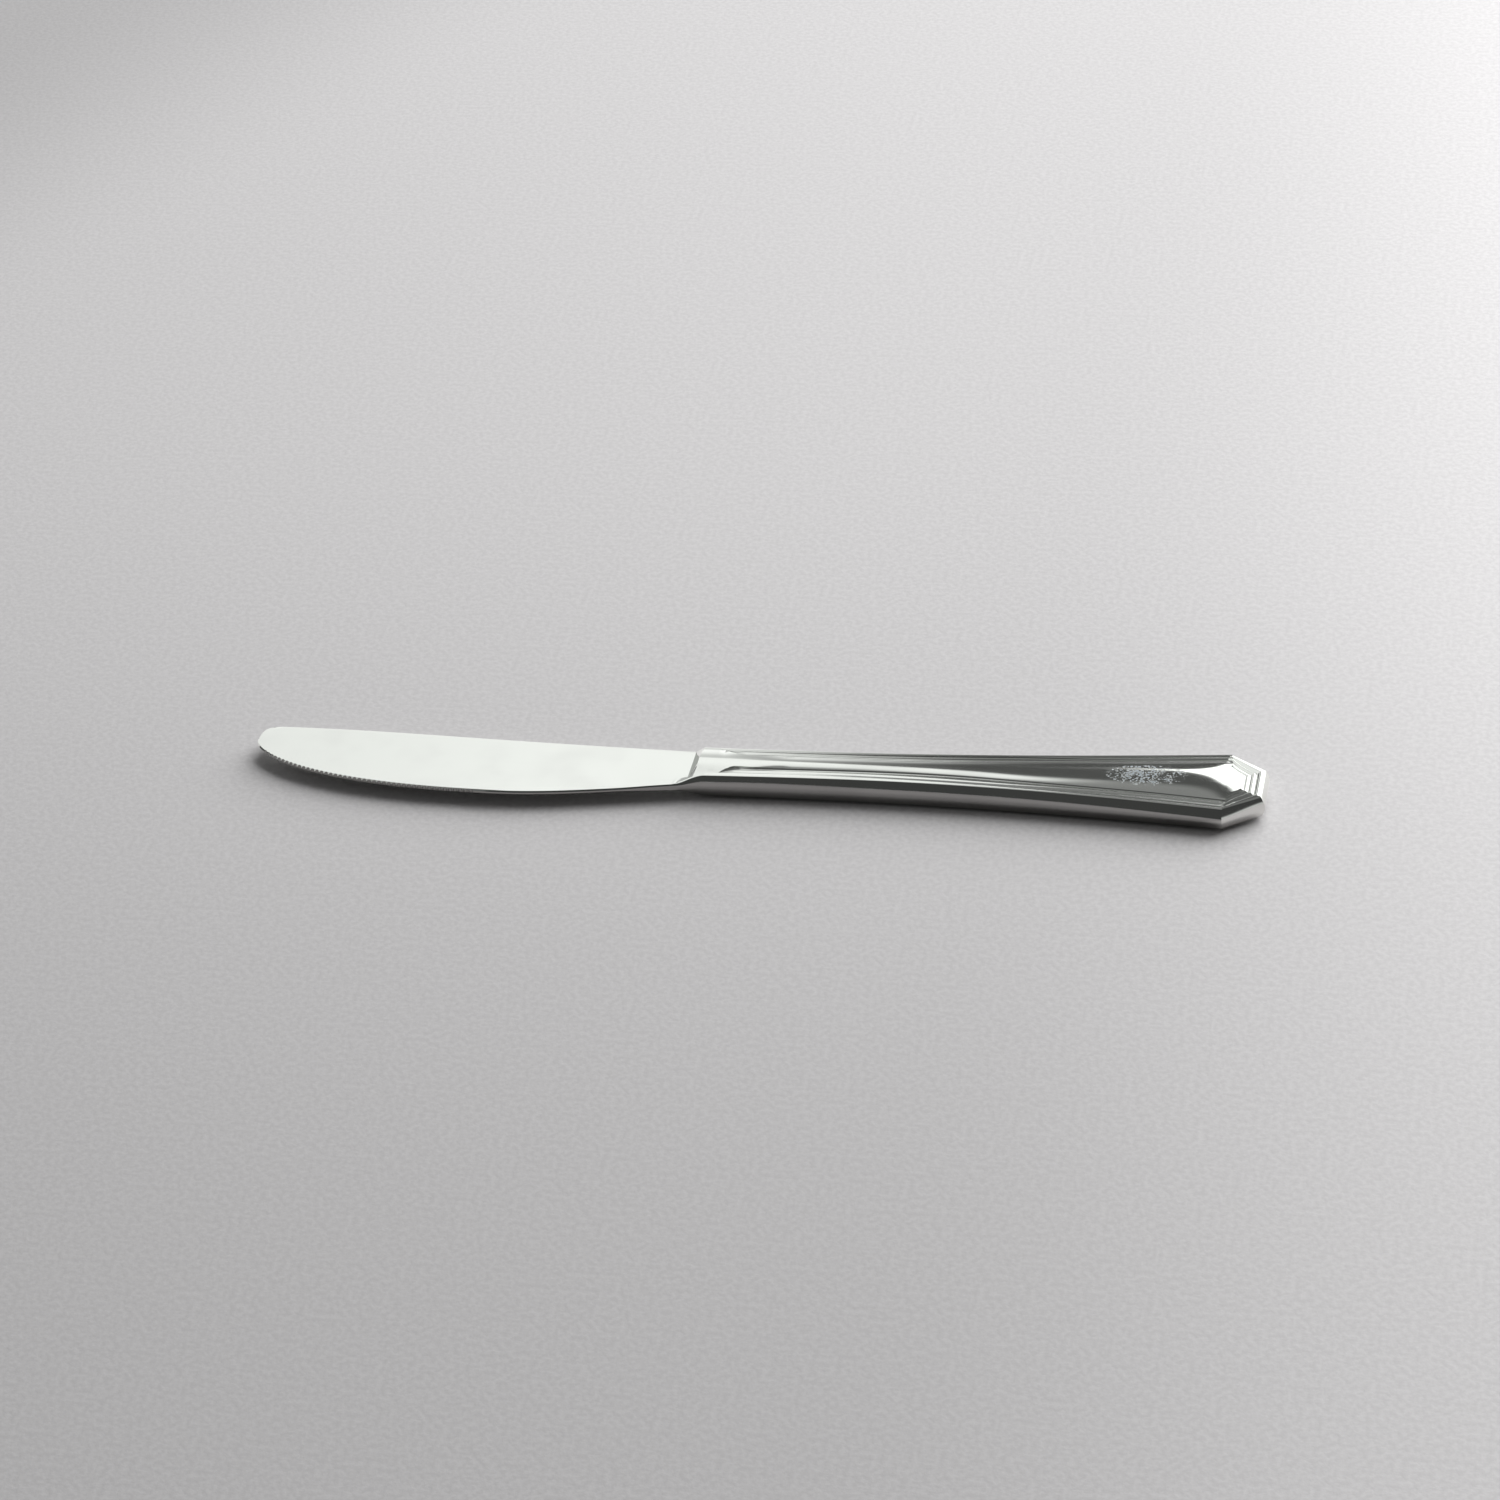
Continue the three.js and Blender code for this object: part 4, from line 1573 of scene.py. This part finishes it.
    def wall(self, ray: Direction, ceiling: Value) -> tuple[Value, Value]:
        """The lit wall.

        Args:
            ray: Direction of the ray.
            ceiling: Brightness of the ceiling above it.

        Returns:
            Its brightness, and 1 where it is seen.
        """
        wall = blend(self.tip_wall_level, self.wall_level, ray.across.step(*self.tip_wall_fade))
        wall = blend(wall, ceiling, ray.height.step(*self.wall_ceiling_fade))
        lean = (self.wall_end_height - ray.height).maximum(-self.wall_end_most_rise) * self.wall_end_lean
        end = (ray.turn + lean).step(*self.wall_end_fade)
        top = self.above_ceiling_end(ray).step(*self.wall_top_fade)
        top = top * ray.across.step(*self.wall_top_side_fade)
        return wall, (1.0 - end) * (1.0 - top) * ray.height.step(*self.wall_bottom_fade)

    def window(self, ray: Direction) -> Value:
        """Where the window is.

        Args:
            ray: Direction of the ray.

        Returns:
            1 inside the window and 0 outside it.
        """
        lean = (ray.height - self.window_lean_height).maximum(0.0) * self.window_lean
        sill = self.sill_height - (ray.turn - self.sill_turn).maximum(0.0) * self.sill_slope
        left = (ray.turn - lean).step(*self.window_left_fade)
        right = 1.0 - ray.turn.step(*self.window_right_fade)
        bottom = (ray.height - sill).step(*self.sill_fade)
        top = 1.0 - ray.height.step(*self.window_top_fade)
        return left * right * bottom * top

    def front(self, ray: Direction) -> Value:
        """Brightness of the dark room in front of the knife with its two panels.

        Args:
            ray: Direction of the ray.

        Returns:
            The brightness.
        """
        left = ray.turn.band(*self.left_panel_turns) * ray.height.band(*self.left_panel_heights)
        right = ray.turn.band(*self.right_panel_turns) * ray.height.band(*self.right_panel_heights)
        return blend(self.front_level, self.panel_level, left + right)

    def level(self, tree: NodeBuilder) -> Value:
        """Brightness of the whole room, by direction.

        Args:
            tree: The world's tree.

        Returns:
            The brightness.
        """
        x, y, z = tree.axes(tree.node("ShaderNodeTexCoord", output="Generated"))
        ray = Direction(x, x.atan2(y) * DEGREES, z.arcsine() * DEGREES, z.atan2(y) * DEGREES)
        ceiling = self.ceiling(ray)
        wall, wall_seen = self.wall(ray, ceiling)
        back = blend(self.shade(ray, ceiling), wall, wall_seen)
        back = blend(back, self.window_level, self.window(ray))
        return blend(back, self.front(ray), ray.roll.step(*self.front_fade))


@dataclass
class Studio:
    """Table, lights and camera. Lengths are in millimetres and angles in degrees."""

    focal_pixels: float = 4346.0
    elevation: float = 35.0
    azimuth: float = 15.59
    roll: float = -6.91
    distance: float = 880.1
    target: Triple = (-1.81, 11.23, 0.8)
    sensor: float = 36.0
    clip_start: float = 10.0
    table_size: float = 6000.0
    key_power: float = 26.0
    key_size: float = 1500.0
    key_place: Triple = (550.0, 700.0, 800.0)
    low_fill: float = 0.075
    top_fill: float = 0.1
    room: MirroredRoom = MirroredRoom()
    table: TableTop = TableTop("table_top")

    def build_camera(self) -> None:
        """Places the camera at the photograph's viewing angle."""
        turn, rise, roll = (math.radians(v) for v in (self.azimuth, self.elevation, self.roll))
        back = Vector((math.sin(turn) * math.cos(rise), -math.cos(turn) * math.cos(rise), math.sin(rise)))
        right = Vector((math.cos(turn), math.sin(turn), 0.0))
        up = back.cross(right)
        across = right * math.cos(roll) + up * math.sin(roll)
        upright = up * math.cos(roll) - right * math.sin(roll)
        data = bpy.data.cameras.new("photo_camera")
        data.sensor_width = self.sensor
        data.lens = self.focal_pixels * self.sensor / PHOTO_PIXELS
        data.clip_start = self.clip_start * MM
        camera = bpy.data.objects.new("photo_camera", data)
        place = (Vector(self.target) + back * self.distance) * MM
        basis = Matrix((across, upright, back)).transposed().to_4x4()
        camera.matrix_world = Matrix.Translation(place) @ basis
        bpy.context.scene.collection.objects.link(camera)
        bpy.context.scene.camera = camera

    def build_table(self) -> None:
        """Lays the table top under the knife."""
        half = self.table_size / 2 * MM
        mesh = bpy.data.meshes.new("table_top")
        corners = [(-half, -half, 0.0), (half, -half, 0.0), (half, half, 0.0), (-half, half, 0.0)]
        mesh.from_pydata(corners, [], [(0, 1, 2, 3)])
        table = bpy.data.objects.new("table_top", mesh)
        table.data.materials.append(self.table.material())
        bpy.context.scene.collection.objects.link(table)

    def build_key(self) -> None:
        """Hangs the large soft light behind and above the knife."""
        data = bpy.data.lights.new("key_softbox", "AREA")
        data.shape = "SQUARE"
        data.size = self.key_size * MM
        data.energy = self.key_power
        key = bpy.data.objects.new("key_softbox", data)
        place = Vector(self.key_place) * MM
        key.location = place
        key.rotation_euler = (-place).to_track_quat("-Z", "Y").to_euler()
        key.visible_glossy = False
        bpy.context.scene.collection.objects.link(key)

    def build_world(self) -> None:
        """Builds the room that the steel mirrors, and the even light of the rest of the scene."""
        world = bpy.data.worlds.new("studio")
        world.use_nodes = True
        bpy.context.scene.world = world
        tree = NodeBuilder(world.node_tree)
        mirrored = self.room.level(tree)
        glossy = tree.node("ShaderNodeLightPath", output="Is Glossy Ray")
        seen = tree.node("ShaderNodeLightPath", output="Is Camera Ray")
        shown = glossy.maximum(seen)
        rise = tree.axes(tree.node("ShaderNodeTexCoord", output="Generated"))[2].maximum(0.0)
        fill = self.low_fill + self.top_fill * rise * rise
        level = mirrored * shown + fill * (1.0 - shown)
        shader = tree.node("ShaderNodeBackground", None, {"Color": opaque(WHITE), "Strength": level})
        tree.node("ShaderNodeOutputWorld", None, {"Surface": shader})

    def build(self) -> None:
        """Builds the whole studio."""
        bpy.context.scene.view_settings.view_transform = "Standard"
        self.build_camera()
        self.build_table()
        self.build_key()
        self.build_world()
        log.info("studio built")


def main() -> None:
    """Builds the knife and its studio."""
    logging.basicConfig(level=logging.INFO)
    handle = HollowHandle()
    handle.dress()
    ForgedBlade(handle).dress()
    Studio().build()


if __name__ == "__main__":
    main()
